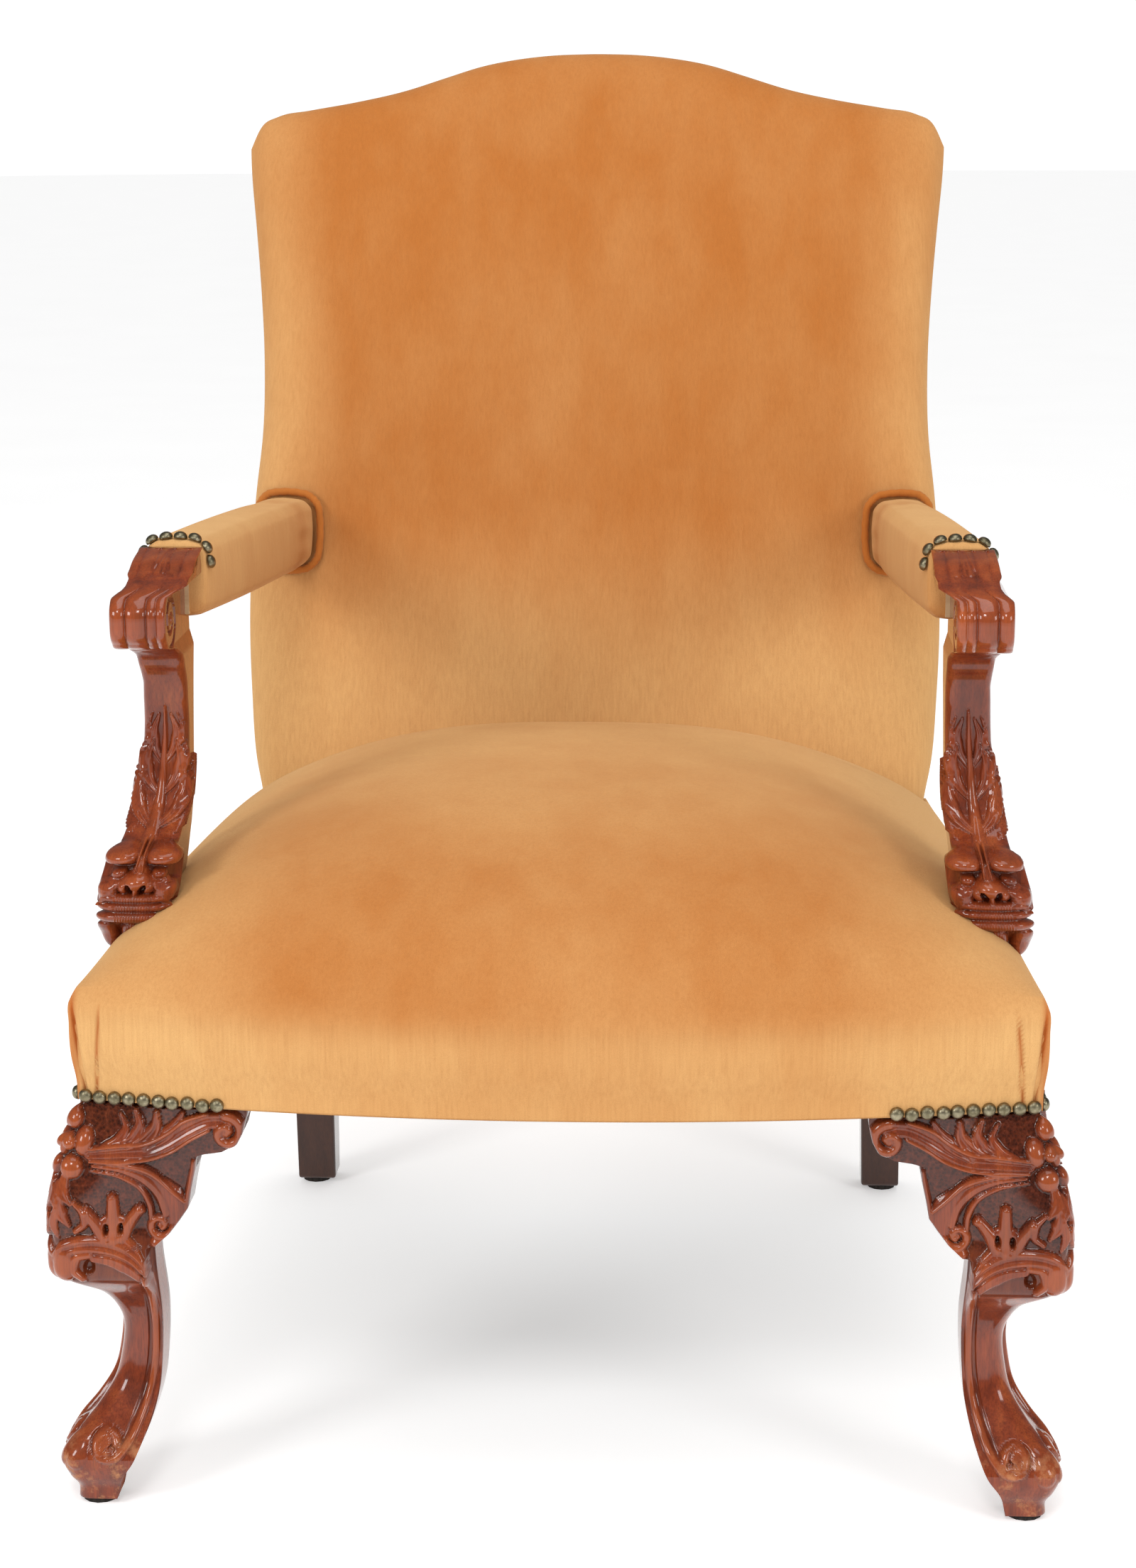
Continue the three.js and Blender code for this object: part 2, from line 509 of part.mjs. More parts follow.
// The room an arm support takes out of the side rail, the seat's padding and its cover.
const housing = () =>
  block(-500, GAP - SUPPORT_FOOT.inner, SUPPORT_FOOT.y0 - GAP, SUPPORT_FOOT.y1 + GAP, 0, RAIL_TOP + 100);
const supportRoom = (bottom) =>
  block(-500, 26 - SUPPORT_FOOT.inner, 50, SUPPORT_FOOT.y1 + 11, bottom, RAIL_TOP + 160);

const sideRail = () =>
  sideStrip(SIDE_FRONT.y, SIDE_REAR.y, RAIL_THICK, RAIL_BOTTOM, RAIL_TOP)
    .subtract(housing())
    .add(sideTenons());

// ---- Corner blocks, each held to its leg or post by one screw ----
const frontCorner = new THREE.Vector3(-LEG_INNER_X, LEG_SIZE, RAIL_MIDDLE_Z);
const rearCorner = new THREE.Vector3(-POST_INNER_X, SEAT_DEPTH, RAIL_MIDDLE_Z);
const BLOCK = { near: 45, far: 76, height: 46 };
const BLOCK_SCREW = { start: 58, tip: 14 };

// A screw line through a corner, from inside the frame towards the corner and past it by tip.
function screwLine(corner, towardsY, tip) {
  const inwards = new THREE.Vector3(1, towardsY, 0).normalize();
  const from = corner.clone().addScaledVector(inwards, BLOCK_SCREW.start);
  return [from, corner.clone().addScaledVector(inwards, -tip)];
}

const frontScrewLine = screwLine(frontCorner, 1, BLOCK_SCREW.tip);
const rearScrewLine = screwLine(rearCorner, -1, 8);

function screw([from, to]) {
  const along = new THREE.Vector3().subVectors(to, from).normalize();
  const neck = from.clone().addScaledVector(along, SCREW.headHeight);
  return rod(from, neck, SCREW.head).add(rod(neck.addScaledVector(along, -0.5), to, SCREW.shank));
}

function screwHole([from, to]) {
  const along = new THREE.Vector3().subVectors(to, from).normalize();
  const [start, end] = [from.clone().addScaledVector(along, -1), to.clone().addScaledVector(along, 1)];
  return rod(start, end, SCREW.shank + SCREW.clearance);
}

function blockBody(corner, towardsY, [screwFrom, screwTo]) {
  const { near, far, height } = BLOCK;
  const at = (a, b) => [corner.x + a, corner.y + towardsY * b];
  const outline = [at(near, -40), at(far, -40), at(far, 0), at(0, far), at(-40, far), at(-40, near)];
  const body = slabAlongZ(outline, RAIL_MIDDLE_Z - height / 2, RAIL_MIDDLE_Z + height / 2);
  const rail = sideStrip(SIDE_FRONT.y - 40, SIDE_REAR.y + 40, RAIL_THICK + 2 * GAP, 0, 2 * RAIL_TOP);
  const along = new THREE.Vector3().subVectors(screwTo, screwFrom).normalize();
  const outside = screwFrom.clone().addScaledVector(along, -30);
  const seat = screwFrom.clone().addScaledVector(along, SCREW.headHeight + GAP);
  const sunk = rod(outside, seat, SCREW.head + SCREW.clearance);
  return body.subtract(rail).subtract(screwHole([screwFrom, screwTo])).subtract(sunk);
}

// The left half of the room inside the side rails' middles.
const keepInside = () => {
  const [y0, y1] = [-SEAT_BOW, SEAT_DEPTH + 60];
  return slabAlongZ([[sideMiddle(y0), y0], [0, y0], [0, y1], [sideMiddle(y1), y1]], 0, 2 * RAIL_TOP);
};

function inFrontOfRail() {
  const inner = spread(10, -LEG_INNER_X, LEG_INNER_X).map((x) => [x, railFront(x) + RAIL_THICK + 6 + GAP]);
  return slabAlongZ([[-LEG_INNER_X, -200], [LEG_INNER_X, -200], ...inner.reverse()], 0, 2 * RAIL_TOP);
}

const frontBlock = () =>
  blockBody(frontCorner, 1, frontScrewLine)
    .intersect(keepInside())
    .subtract(inFrontOfRail());

const rearBlock = () =>
  blockBody(rearCorner, -1, rearScrewLine)
    .intersect(keepInside())
    .subtract(block(-500, 500, REAR_RAIL_Y - RAIL_THICK / 2 - GAP, 2 * SEAT_DEPTH, 0, 2 * RAIL_TOP));

// ---- Webbing, springs, hessian ----
const WEB_EDGE = LEG_INNER_X - 74 - WEB_WIDTH / 2; // middle of the outermost strips, clear of the brackets

function seatWebbing() {
  const back = REAR_RAIL_Y - 4;
  const [z0, z1] = [RAIL_BOTTOM - GAP - SHEET_THICK, RAIL_BOTTOM - GAP];
  const lengthwise = spread(4, -WEB_EDGE, WEB_EDGE).map((x) =>
    block(x - WEB_WIDTH / 2, x + WEB_WIDTH / 2, railFront(Math.abs(x) + WEB_WIDTH / 2) + 14, back, z0, z1));
  const rows = spread(3, SEAT_DEPTH * 0.25, SEAT_DEPTH * 0.86);
  const across = rows.map((y) => {
    const half = -sideMiddle(y + WEB_WIDTH / 2) - 4;
    return block(-half, half, y - WEB_WIDTH / 2, y + WEB_WIDTH / 2, z0, z1);
  });
  return [...lengthwise, ...across].reduce((a, b) => a.add(b));
}

const SPRING_MIDDLE_Y = SEAT_DEPTH / 2;
const SPRING_PITCH = { x: 0.72 * WEB_EDGE, y: 0.228 * SEAT_DEPTH };
const SPRING_CROWN = 62;
const springTop = (x, y) =>
  RAIL_TOP + GAP + SPRING_CROWN * rounded(x / (LEG_INNER_X - 15), 2.4, 0.8)
    * rounded((y - SPRING_MIDDLE_Y) / (SPRING_MIDDLE_Y - 40), 2.4, 0.8);

// Everything from below the seat up to the hessian, raised by lift.
function underHessian(lift) {
  const [half, front, back] = [SEAT_HALF_FRONT + 40, -SEAT_BOW - 60, SEAT_BACK_Y + 60];
  return mappedBox(14, 14, 1, (s, q, t) => {
    const [x, y] = [THREE.MathUtils.lerp(-half, half, s), THREE.MathUtils.lerp(front, back, q)];
    return [x, y, t < 0.5 ? RAIL_TOP - 3 : springTop(x, y) + lift];
  });
}

// The seat frame's plan, let out by margin, as an upright solid.
function framePlan(margin, z0, z1) {
  const bow = spread(10, -LEG_INNER_X, LEG_INNER_X).map((x) => [x, railFront(x) - margin]);
  const [a, b] = [FRONT_FOOT_X - LEG_SET_BACK + margin, POST_OUTER_X + margin];
  const side = [[a, LEG_SET_BACK - margin], [a, LEG_SIZE + 1], [b, SEAT_DEPTH], [b + 6, SEAT_DEPTH + 90]];
  return slabAlongZ([...bow, ...side, ...side.map(([x, y]) => [-x, y]).reverse()], z0, z1);
}

function hessian() {
  const [a, b, rear] = [-sideMiddle(LEG_SIZE), -sideMiddle(SEAT_DEPTH - 10), SEAT_DEPTH - 10];
  const bow = spread(8, -LEG_INNER_X, LEG_INNER_X).map((x) => [x, railFront(x) + 12]);
  const between = POST_INNER_X - 1;
  const side = [[a, 14], [a, LEG_SIZE], [b, rear], [between, rear], [between, REAR_RAIL_Y]];
  const plan = [...bow, ...side, ...side.map(([x, y]) => [-x, y]).reverse()];
  const sheet = slabAlongZ(plan, RAIL_TOP - 20, RAIL_TOP + 140);
  return underHessian(SHEET_THICK)
    .subtract(underHessian(0))
    .intersect(sheet)
    .subtract(supportRoom(0))
    .subtract(mirrored(supportRoom(0)));
}

class SpringLine extends THREE.Curve {
  constructor(x, y, z0, z1) {
    super();
    Object.assign(this, { x, y, z0, z1 });
  }

  getPoint(u) {
    const radius = SPRING.waist + (SPRING.end - SPRING.waist) * (2 * u - 1) ** 2;
    const angle = 2 * Math.PI * SPRING.turns * u;
    const z = THREE.MathUtils.lerp(this.z0, this.z1, THREE.MathUtils.smoothstep(u, -0.08, 1.08));
    return new THREE.Vector3(this.x + radius * Math.cos(angle), this.y + radius * Math.sin(angle), z);
  }
}

function spring(x, y) {
  const reach = SPRING.end + SPRING.wire;
  const about = [-reach, 0, reach];
  const corners = about.flatMap((dx) => about.map((dy) => springTop(x + dx, y + dy)));
  const line = new SpringLine(x, y, RAIL_BOTTOM + SPRING.wire + GAP, Math.min(...corners) - SPRING.wire - 1);
  const section = new THREE.Shape().absarc(0, 0, SPRING.wire, 0, 2 * Math.PI);
  const steps = SPRING.turns * 8;
  return solid(new THREE.ExtrudeGeometry(section, { steps, extrudePath: line, curveSegments: 2 }));
}

// ---- Seat padding and cover, the dust cover ----
const seatPadding = () =>
  seatForm(COVER_THICK + GAP, RAIL_BOTTOM + 8)
    .subtract(framePlan(GAP, 0, RAIL_TOP + GAP))
    .subtract(underHessian(SHEET_THICK + GAP).intersect(framePlan(GAP, 0, 900)))
    .subtract(supportRoom(0))
    .subtract(mirrored(supportRoom(0)))
    .subtract(behindBack(GAP))
    .subtract(block(-500, 500, SEAT_BACK_Y - 6, SEAT_BACK_Y + 90, 0, 600));

const seatCover = () =>
  seatForm(0, RAIL_BOTTOM + GAP)
    .subtract(seatForm(COVER_THICK, RAIL_BOTTOM - 30))
    .subtract(supportRoom(RAIL_TOP + 8))
    .subtract(mirrored(supportRoom(RAIL_TOP + 8)))
    .subtract(behindBack(GAP));

function dustCover() {
  const [front, back] = [30, REAR_RAIL_Y - 12];
  const z = RAIL_BOTTOM - 2 * GAP - SHEET_THICK;
  const side = [
    [LEG_INNER_X - 90, -10], [LEG_INNER_X - 80, front], [LEG_INNER_X - 10, LEG_SIZE + 26],
    [POST_INNER_X + 2, SEAT_DEPTH - 20], [POST_INNER_X - 20, back],
  ];
  return slabAlongZ([...side, ...side.map(([x, y]) => [-x, y]).reverse()], z - SHEET_THICK, z);
}

// ---- Back webbing, padding and covers ----
function backWebbing() {
  const [v0, v1] = [-GAP - SHEET_THICK, -GAP];
  const [low, high] = [LOWER_RAIL.bottom + 12, BACK_LENGTH + 24];
  const upright = [-110, 0, 110].map((x) => block(x - WEB_WIDTH / 2, x + WEB_WIDTH / 2, v0, v1, low, high));
  const levels = spread(3, 0.25 * BACK_LENGTH, 0.88 * BACK_LENGTH);
  const across = levels.map((w) => {
    const half = postOuter(w) - 10;
    return block(-half, half, v0, v1, w - WEB_WIDTH / 2, w + WEB_WIDTH / 2);
  });
  return armHoles(raked([...upright, ...across].reduce((a, b) => a.add(b))));
}

const armHoles = (manifold) => manifold.subtract(armPassage).subtract(mirrored(armPassage));

const backPadding = () =>
  armHoles(raked(backForm(COVER_THICK + GAP, -2 * GAP - SHEET_THICK, BACK_START)));

const backCoverFront = () =>
  armHoles(raked(backForm(0, POST.thick, BACK_START).subtract(backForm(COVER_THICK, 200, BACK_START - 40))));

function backCoverRear() {
  const low = RAIL_BOTTOM;
  const [near, far] = [POST.thick + GAP, POST.thick + GAP + COVER_THICK];
  const end = BACK_LENGTH + 100;
  const lowY = SEAT_DEPTH + POST.thick + 14;
  const strip = [
    [lowY + GAP, low], [lowY + GAP + COVER_THICK, low],
    backPoint(far, 20), backPoint(far, end), backPoint(near, end),
    backPoint(near, 20),
  ];
  const edge = spread(16, 1, -1).map((u) => [u * TOP_HALF_WIDTH, crestHeight(u * TOP_HALF_WIDTH)]);
  const sides = postLevels.filter((w) => w > 0).map((w) => [backHalfWidth(w), w]);
  const bottom = [[-POST_OUTER_X, -120], [POST_OUTER_X, -120], [POST_OUTER_X, 0]];
  const left = [...sides].reverse().map(([x, w]) => [-x, w]);
  const outline = [...bottom, ...sides.slice(0, -1), ...edge, ...left.slice(1), [-POST_OUTER_X, 0]];
  return slabAlongX(strip, -400, 400).intersect(raked(slabAlongY(outline, -200, 400)));
}

// ---- Nails: domed heads along a strip ----
// Each place is a point on the surface and the way out of it.
function nailHead(point, out) {
  const { radius, dome } = NAIL;
  const profile = [[0, 0], [radius, 0], [0.75 * radius, 0.7 * dome], [0, dome]];
  const head = new THREE.LatheGeometry(profile.map(([r, h]) => new THREE.Vector2(r, h)), 6);
  const turn = new THREE.Quaternion().setFromUnitVectors(new THREE.Vector3(0, 1, 0), out.clone().normalize());
  const foot = point.clone().addScaledVector(out.clone().normalize(), GAP);
  return solid(head.applyQuaternion(turn).translate(foot.x, foot.y, foot.z));
}

function armNails() {
  const at = NAIL.radius + 3.5;
  const { halfWidth: w, halfHeight: h, corner: r } = ARM_PAD;
  const low = -h + r + 4;
  const strip = sleeve(-GAP - NAIL.strip, at - 2, at + 2).subtract(sleeve(-GAP, at - 9, at + 9));
  const kept = strip.subtract(block(-w - 9, w + 9, -h - 9, low - 2, at - 9, at + 9));
  const straight = h - r - low;
  const arc = (Math.PI / 2) * r;
  const total = 2 * straight + 2 * arc + 2 * (w - r);
  const count = Math.floor(total / NAIL.pitch);
  const place = (d) => {
    if (d < straight) return [w, low + d, 1, 0];
    if (d < straight + arc) {
      const a = (d - straight) / r;
      return [w - r + r * Math.cos(a), h - r + r * Math.sin(a), Math.cos(a), Math.sin(a)];
    }
    return [w - r - (d - straight - arc), h, 0, 1];
  };
  const heads = spread(count, 0, total).map((d) => {
    const back = d > total / 2;
    const [x, y, nx, ny] = place(back ? total - d : d);
    const flip = back ? -1 : 1;
    return nailHead(new THREE.Vector3(flip * x, y, at), new THREE.Vector3(flip * nx, ny, 0));
  });
  return alongArm(heads.reduce((a, b) => a.add(b), kept));
}

function legNails() {
  const z = RAIL_BOTTOM + GAP + NAIL.radius;
  const corner = SEAT_HALF_FRONT;
  const [z0, z1] = [z - 2, z + 2];
  const inner = FRONT_FOOT_X - 96;
  const wrap = GAP + NAIL.strip;
  const edges = [corner + wrap, ...spread(6, corner, inner)];
  const front = edges.map((x) => [-x, seatFront(Math.min(x, corner)) - GAP]);
  const away = front.map(([x, y]) => [x, y - NAIL.strip]);
  const stripFront = slabAlongZ([...front, ...away.reverse()], z0, z1);
  const sideEnd = 88;
  const sideX = (y) => -seatHalfWidth(y) - GAP;
  const sideLine = [-SEAT_OVERHANG - GAP - NAIL.strip, 0, sideEnd].map((y) => [sideX(y), y]);
  const sideAway = sideLine.map(([x, y]) => [x - NAIL.strip, y]).reverse();
  const stripSide = slabAlongZ([...sideLine, ...sideAway], z0, z1);
  const heads = [];
  for (let x = corner - NAIL.radius; x > inner + 3; x -= NAIL.pitch) {
    const slope = (2 * SEAT_BOW * x) / SEAT_HALF_FRONT ** 2;
    heads.push(nailHead(new THREE.Vector3(-x, seatFront(x), z), new THREE.Vector3(-slope, -1, 0)));
  }
  const taper = (SEAT_HALF_FRONT - SEAT_HALF_REAR) / SEAT_DEPTH;
  for (let y = NAIL.radius - SEAT_OVERHANG; y < sideEnd - 3; y += NAIL.pitch) {
    heads.push(nailHead(new THREE.Vector3(-seatHalfWidth(y), y, z), new THREE.Vector3(-1, taper, 0)));
  }
  return heads.reduce((a, b) => a.add(b), stripFront.add(stripSide));
}

const glide = (x, y) =>
  solid(new THREE.CylinderGeometry(GLIDE.radius, GLIDE.radius, GLIDE.height - GAP, 12)
    .rotateX(Math.PI / 2)
    .translate(x, y, (GLIDE.height - GAP) / 2));

// ---- Assembly ----
addPair("front_leg", frontLeg()
  .subtract(frontTenons(TENON.slack))
  .subtract(sideTenons(TENON.slack))
  .subtract(screwHole(frontScrewLine)), mahogany);
addPair("knee_bracket_front", frontEar(), mahogany);
addPair("knee_bracket_side", sideEar(), mahogany);
addPair("rear_post", rearPost()
  .subtract(sideTenons(TENON.slack))
  .subtract(rearTenons(TENON.slack))
  .subtract(raked(lowerTenons(TENON.slack)))
  .subtract(armTenon(0, postFaceOnArm + 14 + TENON.slack, TENON.slack))
  .subtract(screwHole(rearScrewLine))
  .add(stubTenon()), mahogany);

add("seat_rail_front", frontRailBody().add(frontTenons(0)), beech);
addPair("seat_rail_side", sideRail(), beech);
add("seat_rail_rear", rearRail(), beech);
add("back_rail_lower", backLowerRail(), beech);
add("back_rail_crest", crestRail(), beech);
addPair("corner_block_front", frontBlock(), beech);
addPair("corner_block_rear", rearBlock(), beech);
addPair("corner_block_front_screw", screw(frontScrewLine), steel);
addPair("corner_block_rear_screw", screw(rearScrewLine), steel);

addPair("arm_support", armSupport(), mahogany);
addPair("arm_rail", armRail(), beech);
addPair("arm_padding", armPad(), padding);
addPair("arm_cover", armCover(), velvet);
addPair("arm_welt", armWelt(), velvet);
addPair("arm_nails", armNails(), brass);

add("seat_webbing", seatWebbing(), jute);
const SPRING_ROWS = ["front", "middle", "rear"];
const SPRING_COLUMNS = ["left", "centre", "right"];
[-1, 0, 1].forEach((row) => {
  [-1, 0, 1].forEach((column) => {
    const [rowName, columnName] = [SPRING_ROWS[row + 1], SPRING_COLUMNS[column + 1]];
    const name = `seat_spring_${rowName}_${columnName}`;
    add(name, spring(column * SPRING_PITCH.x, SPRING_MIDDLE_Y + row * SPRING_PITCH.y), steel);
  });
});
add("seat_hessian", hessian(), jute);
add("seat_padding", seatPadding(), padding);
add("seat_cover", seatCover(), velvet);
add("dust_cover", dustCover(), cambric);
addPair("leg_nails", legNails(), brass);

add("back_webbing", backWebbing(), jute);
add("back_padding", backPadding(), padding);
add("back_cover_front", backCoverFront(), velvet);
add("back_cover_rear", backCoverRear(), velvet);

addPair("foot_glide_front", glide(-FRONT_FOOT_X, 0), felt);
addPair("foot_glide_rear", glide(-REAR_FOOT_X, POST_FOOT_Y), felt);

// The middle of the chair's depth goes to Y = 0.
const extent = new THREE.Box3().setFromObject(chair);
chair.position.y = -(extent.min.y + extent.max.y) / 2;

export default chair;
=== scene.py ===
# %% [markdown]
# # An upholstered open armchair with carved mahogany legs
#
# The chair's frame was cut and measured in CAD and comes in as fixed nodes. This lesson dresses it: velvet
# over stuffed forms, carved legs and arm supports, domed nails, and a finish for every piece that shows.
# All shapes are worked out in the bench frame of the CAD, in millimetres: x = 0 on the chair's middle, y = 0
# through the front feet, z = 0 on the floor. One function then places them in the frame, in metres.

import bpy
import numpy as np
from mathutils import Matrix, Vector


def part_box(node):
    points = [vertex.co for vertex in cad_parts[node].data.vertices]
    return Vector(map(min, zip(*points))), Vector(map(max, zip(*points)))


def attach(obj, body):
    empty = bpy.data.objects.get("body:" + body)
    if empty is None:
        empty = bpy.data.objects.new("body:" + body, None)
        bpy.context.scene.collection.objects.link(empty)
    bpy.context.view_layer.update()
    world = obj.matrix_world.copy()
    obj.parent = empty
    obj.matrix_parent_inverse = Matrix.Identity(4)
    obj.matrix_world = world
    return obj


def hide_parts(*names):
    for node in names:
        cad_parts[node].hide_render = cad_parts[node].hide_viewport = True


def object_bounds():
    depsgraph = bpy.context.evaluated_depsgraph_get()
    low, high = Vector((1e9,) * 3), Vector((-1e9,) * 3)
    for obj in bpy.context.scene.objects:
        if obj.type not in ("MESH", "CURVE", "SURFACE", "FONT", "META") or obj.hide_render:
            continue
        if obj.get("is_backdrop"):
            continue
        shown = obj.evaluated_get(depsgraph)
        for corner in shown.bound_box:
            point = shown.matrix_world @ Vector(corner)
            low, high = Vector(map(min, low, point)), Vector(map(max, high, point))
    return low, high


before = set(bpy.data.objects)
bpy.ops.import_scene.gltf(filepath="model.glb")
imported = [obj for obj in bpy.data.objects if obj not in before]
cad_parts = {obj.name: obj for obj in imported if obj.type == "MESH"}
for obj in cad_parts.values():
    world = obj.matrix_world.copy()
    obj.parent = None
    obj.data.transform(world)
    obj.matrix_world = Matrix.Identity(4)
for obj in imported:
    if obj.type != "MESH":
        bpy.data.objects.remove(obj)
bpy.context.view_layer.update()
glide_low, glide_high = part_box("foot_glide_front_left")
foot = (glide_low + glide_high) / 2
FOOT_X = -1000 * foot.x
BENCH_Y = 1000 * foot.y
rng = np.random.default_rng(7)
print("front foot at", round(FOOT_X, 1), "mm from the middle; bench frame starts at y =", round(BENCH_Y, 2))

# %% [markdown]
# ## The view, the floor and the light
#
# The camera stands a little right of the middle, at the height of the top of the back, and looks down at the
# seat. The floor is a wide pale disc. Soft lights at the left, the right, the front and above are the
# lamps of
# a white studio: the wood's polish shows them as small bright glints. The world is plain white to the camera,
# dimmer as a light and dimmer still in reflections, so that forms keep their shading and wood its depth.

# %% Camera
yaw, pitch, roll = np.radians([-3.033, -13.045, -0.274])
ahead = Vector((np.sin(yaw) * np.cos(pitch), np.cos(yaw) * np.cos(pitch), np.sin(pitch)))
across = Vector((np.cos(yaw), -np.sin(yaw), 0))
upward = across.cross(ahead)
right = across * np.cos(roll) + upward * np.sin(roll)
above = upward * np.cos(roll) - across * np.sin(roll)
camera = bpy.data.objects.new("camera", bpy.data.cameras.new("camera"))
bpy.context.scene.collection.objects.link(camera)
camera.matrix_world = Matrix.Translation((0.11265, -2.29325, 0.9710)) @ Matrix(
    (right, above, -ahead)
).transposed().to_4x4()
camera.data.lens = 70.25
camera.data.sensor_width = 36
bpy.context.scene.camera = camera
bpy.context.scene.view_settings.view_transform = "Standard"
print("camera", [round(c, 3) for c in camera.location])


# %% Lights
def soft_light(name, place, aim, size, power):
    """A square softbox of that size in metres at place, turned towards aim."""
    light = bpy.data.lights.new(name, "AREA")
    light.energy, light.size = power, size
    holder = bpy.data.objects.new(name, light)
    holder.location = place
    holder.rotation_mode = "QUATERNION"
    holder.rotation_quaternion = (Vector(aim) - Vector(place)).to_track_quat("-Z", "Y")
    bpy.context.scene.collection.objects.link(holder)


seat_middle = (0, 0, 0.5)
soft_light("light_left", (-2.2, -2.4, 1.9), seat_middle, 0.95, 35)
soft_light("light_right", (2.4, -2.2, 1.6), seat_middle, 0.95, 24)
soft_light("light_top", (0.2, -0.6, 3.2), seat_middle, 1.8, 24)
soft_light("light_front", (-0.2, -2.9, 3.0), seat_middle, 0.7, 28)


# %% [markdown]
# ## Writing finishes as sums
#
# A finish is a node tree. Wrapping a socket in a small class with +, - and * lets the shader maths be read as
# sums. Every other node comes from one method, `node`, which takes the node's kind, its settings, and the
# values or links of its sockets.


# %% The socket class
class Socket:
    """One output of a material's node tree. Each operator adds one Math node."""

    def __init__(self, tree, socket=None):
        self.tree, self.socket = tree, socket

    def node(self, kind, settings=None, inputs=None, out=0):
        made = self.tree.nodes.new("ShaderNode" + kind)
        for key, value in (settings or {}).items():
            if key == "stops":
                ramp = made.color_ramp
                for spot in range(len(value) - 2):
                    ramp.elements.new(0.5)
                for element, (at, level) in zip(ramp.elements, value):
                    element.position = at
                    element.color = (*([level] * 3 if isinstance(level, (int, float)) else level), 1)
            else:
                setattr(made, key, value)
        for key, value in (inputs or {}).items():
            if isinstance(value, Socket):
                self.tree.links.new(value.socket, made.inputs[key])
            else:
                made.inputs[key].default_value = value
        return Socket(self.tree, made.outputs[out])

    def math(self, operation, first, second=0.0):
        return self.node("Math", {"operation": operation}, {0: first, 1: second})

    def __add__(self, other):
        return self.math("ADD", self, other)

    def __sub__(self, other):
        return self.math("SUBTRACT", self, other)

    def __rsub__(self, other):
        return self.math("SUBTRACT", other, self)

    def __mul__(self, other):
        return self.math("MULTIPLY", self, other)

    def __pow__(self, other):
        return self.math("POWER", self, other)

    __radd__, __rmul__ = __add__, __mul__

    def limited(self, low=0.0, high=1.0):
        """This value brought from low..high to 0..1, and held there."""
        return self.node("MapRange", {"clamp": True}, {0: self, 1: low, 2: high})

    def noise(self, at, scale, detail=3.0, roughness=0.5, stretch=(1, 1, 1)):
        """Soft noise in the object's own place, stretched by different scales along x, y and z."""
        spot = self.node("Mapping", {"vector_type": "POINT"}, {"Vector": at, "Scale": stretch})
        sizes = {"Vector": spot, "Scale": scale, "Detail": detail, "Roughness": roughness}
        return self.node("TexNoise", {}, sizes)

    def mixed(self, factor, first, second, blend="MIX"):
        """Two colours mixed by factor."""
        settings = {"data_type": "RGBA", "blend_type": blend}
        colours = [c if isinstance(c, Socket) else (*c, 1) for c in (first, second)]
        return self.node("Mix", settings, {0: factor, 6: colours[0], 7: colours[1]}, out=2)

    def mark(self, name):
        """A number that the piece's mesh carries at each point."""
        return self.node("Attribute", {"attribute_name": name}, out="Fac")

    def bump(self, height, depth, strength=1.0, over=None):
        """A bump whose height 0..1 stands for depth metres."""
        inputs = {"Height": height, "Distance": depth, "Strength": strength}
        if over is not None:
            inputs["Normal"] = over
        return self.node("Bump", {}, inputs)


def new_finish(name, **uniform):
    """A material with its Principled shader's uniform values set: (material, start socket, places, feed)."""
    material = bpy.data.materials.new(name)
    material.use_nodes = True
    tree = material.node_tree
    shader = tree.nodes["Principled BSDF"]
    for key, value in uniform.items():
        shader.inputs[key.replace("_", " ")].default_value = value
    start = Socket(tree)
    places = start.node("TexCoord", out="Object")

    def feed(**links):
        for key, value in links.items():
            tree.links.new(value.socket, shader.inputs[key.replace("_", " ")])

    return material, start, places, feed


# %% [markdown]
# ## Velvet
#
# Cotton velvet is short upright pile. Where the pile is brushed towards the eye it looks deep orange, and
# where it lies away it looks pale gold. The mesh carries a mark of nap and sheen that mixes the two at each
# point. It is worked out from where each point is and which way it faces. Partly it is how the pile lies, and
# partly it is painted sheen and painted light: paler gold on faces that turn to the front or upwards and
# round rolled edges. Cloudy noise adds hand marks and very fine noise the tufts. A second mark for the folds
# gives the deeper orange of a turned edge and painted shade along the creases of the pleats. Sheen gives the
# soft rim.


# %% Velvet finish
def velvet_finish(name, deep, gold, fold):
    """Pile that goes from deep to gold with the mark of nap and painted sheen, with strokes, tufts, and
    darker folds that are partly painted crease shade.
    """
    material, start, places, feed = new_finish(
        name,
        Sheen_Weight=0.35,
        Sheen_Roughness=0.35,
        Sheen_Tint=(1.0, 0.72, 0.38, 1),
        Specular_IOR_Level=0.12,
    )
    strokes = start.noise(places, 6.0, 5.0, 0.55, (1.0, 1.0, 0.7)).limited(0.34, 0.68)
    smears = start.noise(places, 26.0, 4.0, 0.6, (1.0, 1.0, 0.3)).limited(0.3, 0.7)
    streaks = start.noise(places, 520.0, 2.0, 0.6, (1.0, 1.0, 0.05)).limited(0.25, 0.75)
    tufts = start.noise(places, 2200.0, 2.0, 0.7)
    nap = start.mark("nap") + (strokes - 0.5) * 0.26 + (smears - 0.5) * 0.16
    pile = start.mixed(nap.limited(0, 1), deep, gold)
    pile = start.mixed((0.5 - tufts) * 0.7 + (0.5 - streaks) * 0.22 + 0.1, pile, [0.62 * c for c in deep])
    pile = start.mixed(start.mark("seam").limited(0.05, 0.9), pile, fold)
    relief = start.bump(strokes, 0.0015, 0.5)
    relief = start.bump(tufts * 0.7 + streaks * 0.3, 0.0006, 0.8, relief)
    feed(Base_Color=pile, Roughness=(0.98 - 0.2 * strokes), Normal=relief)
    return material
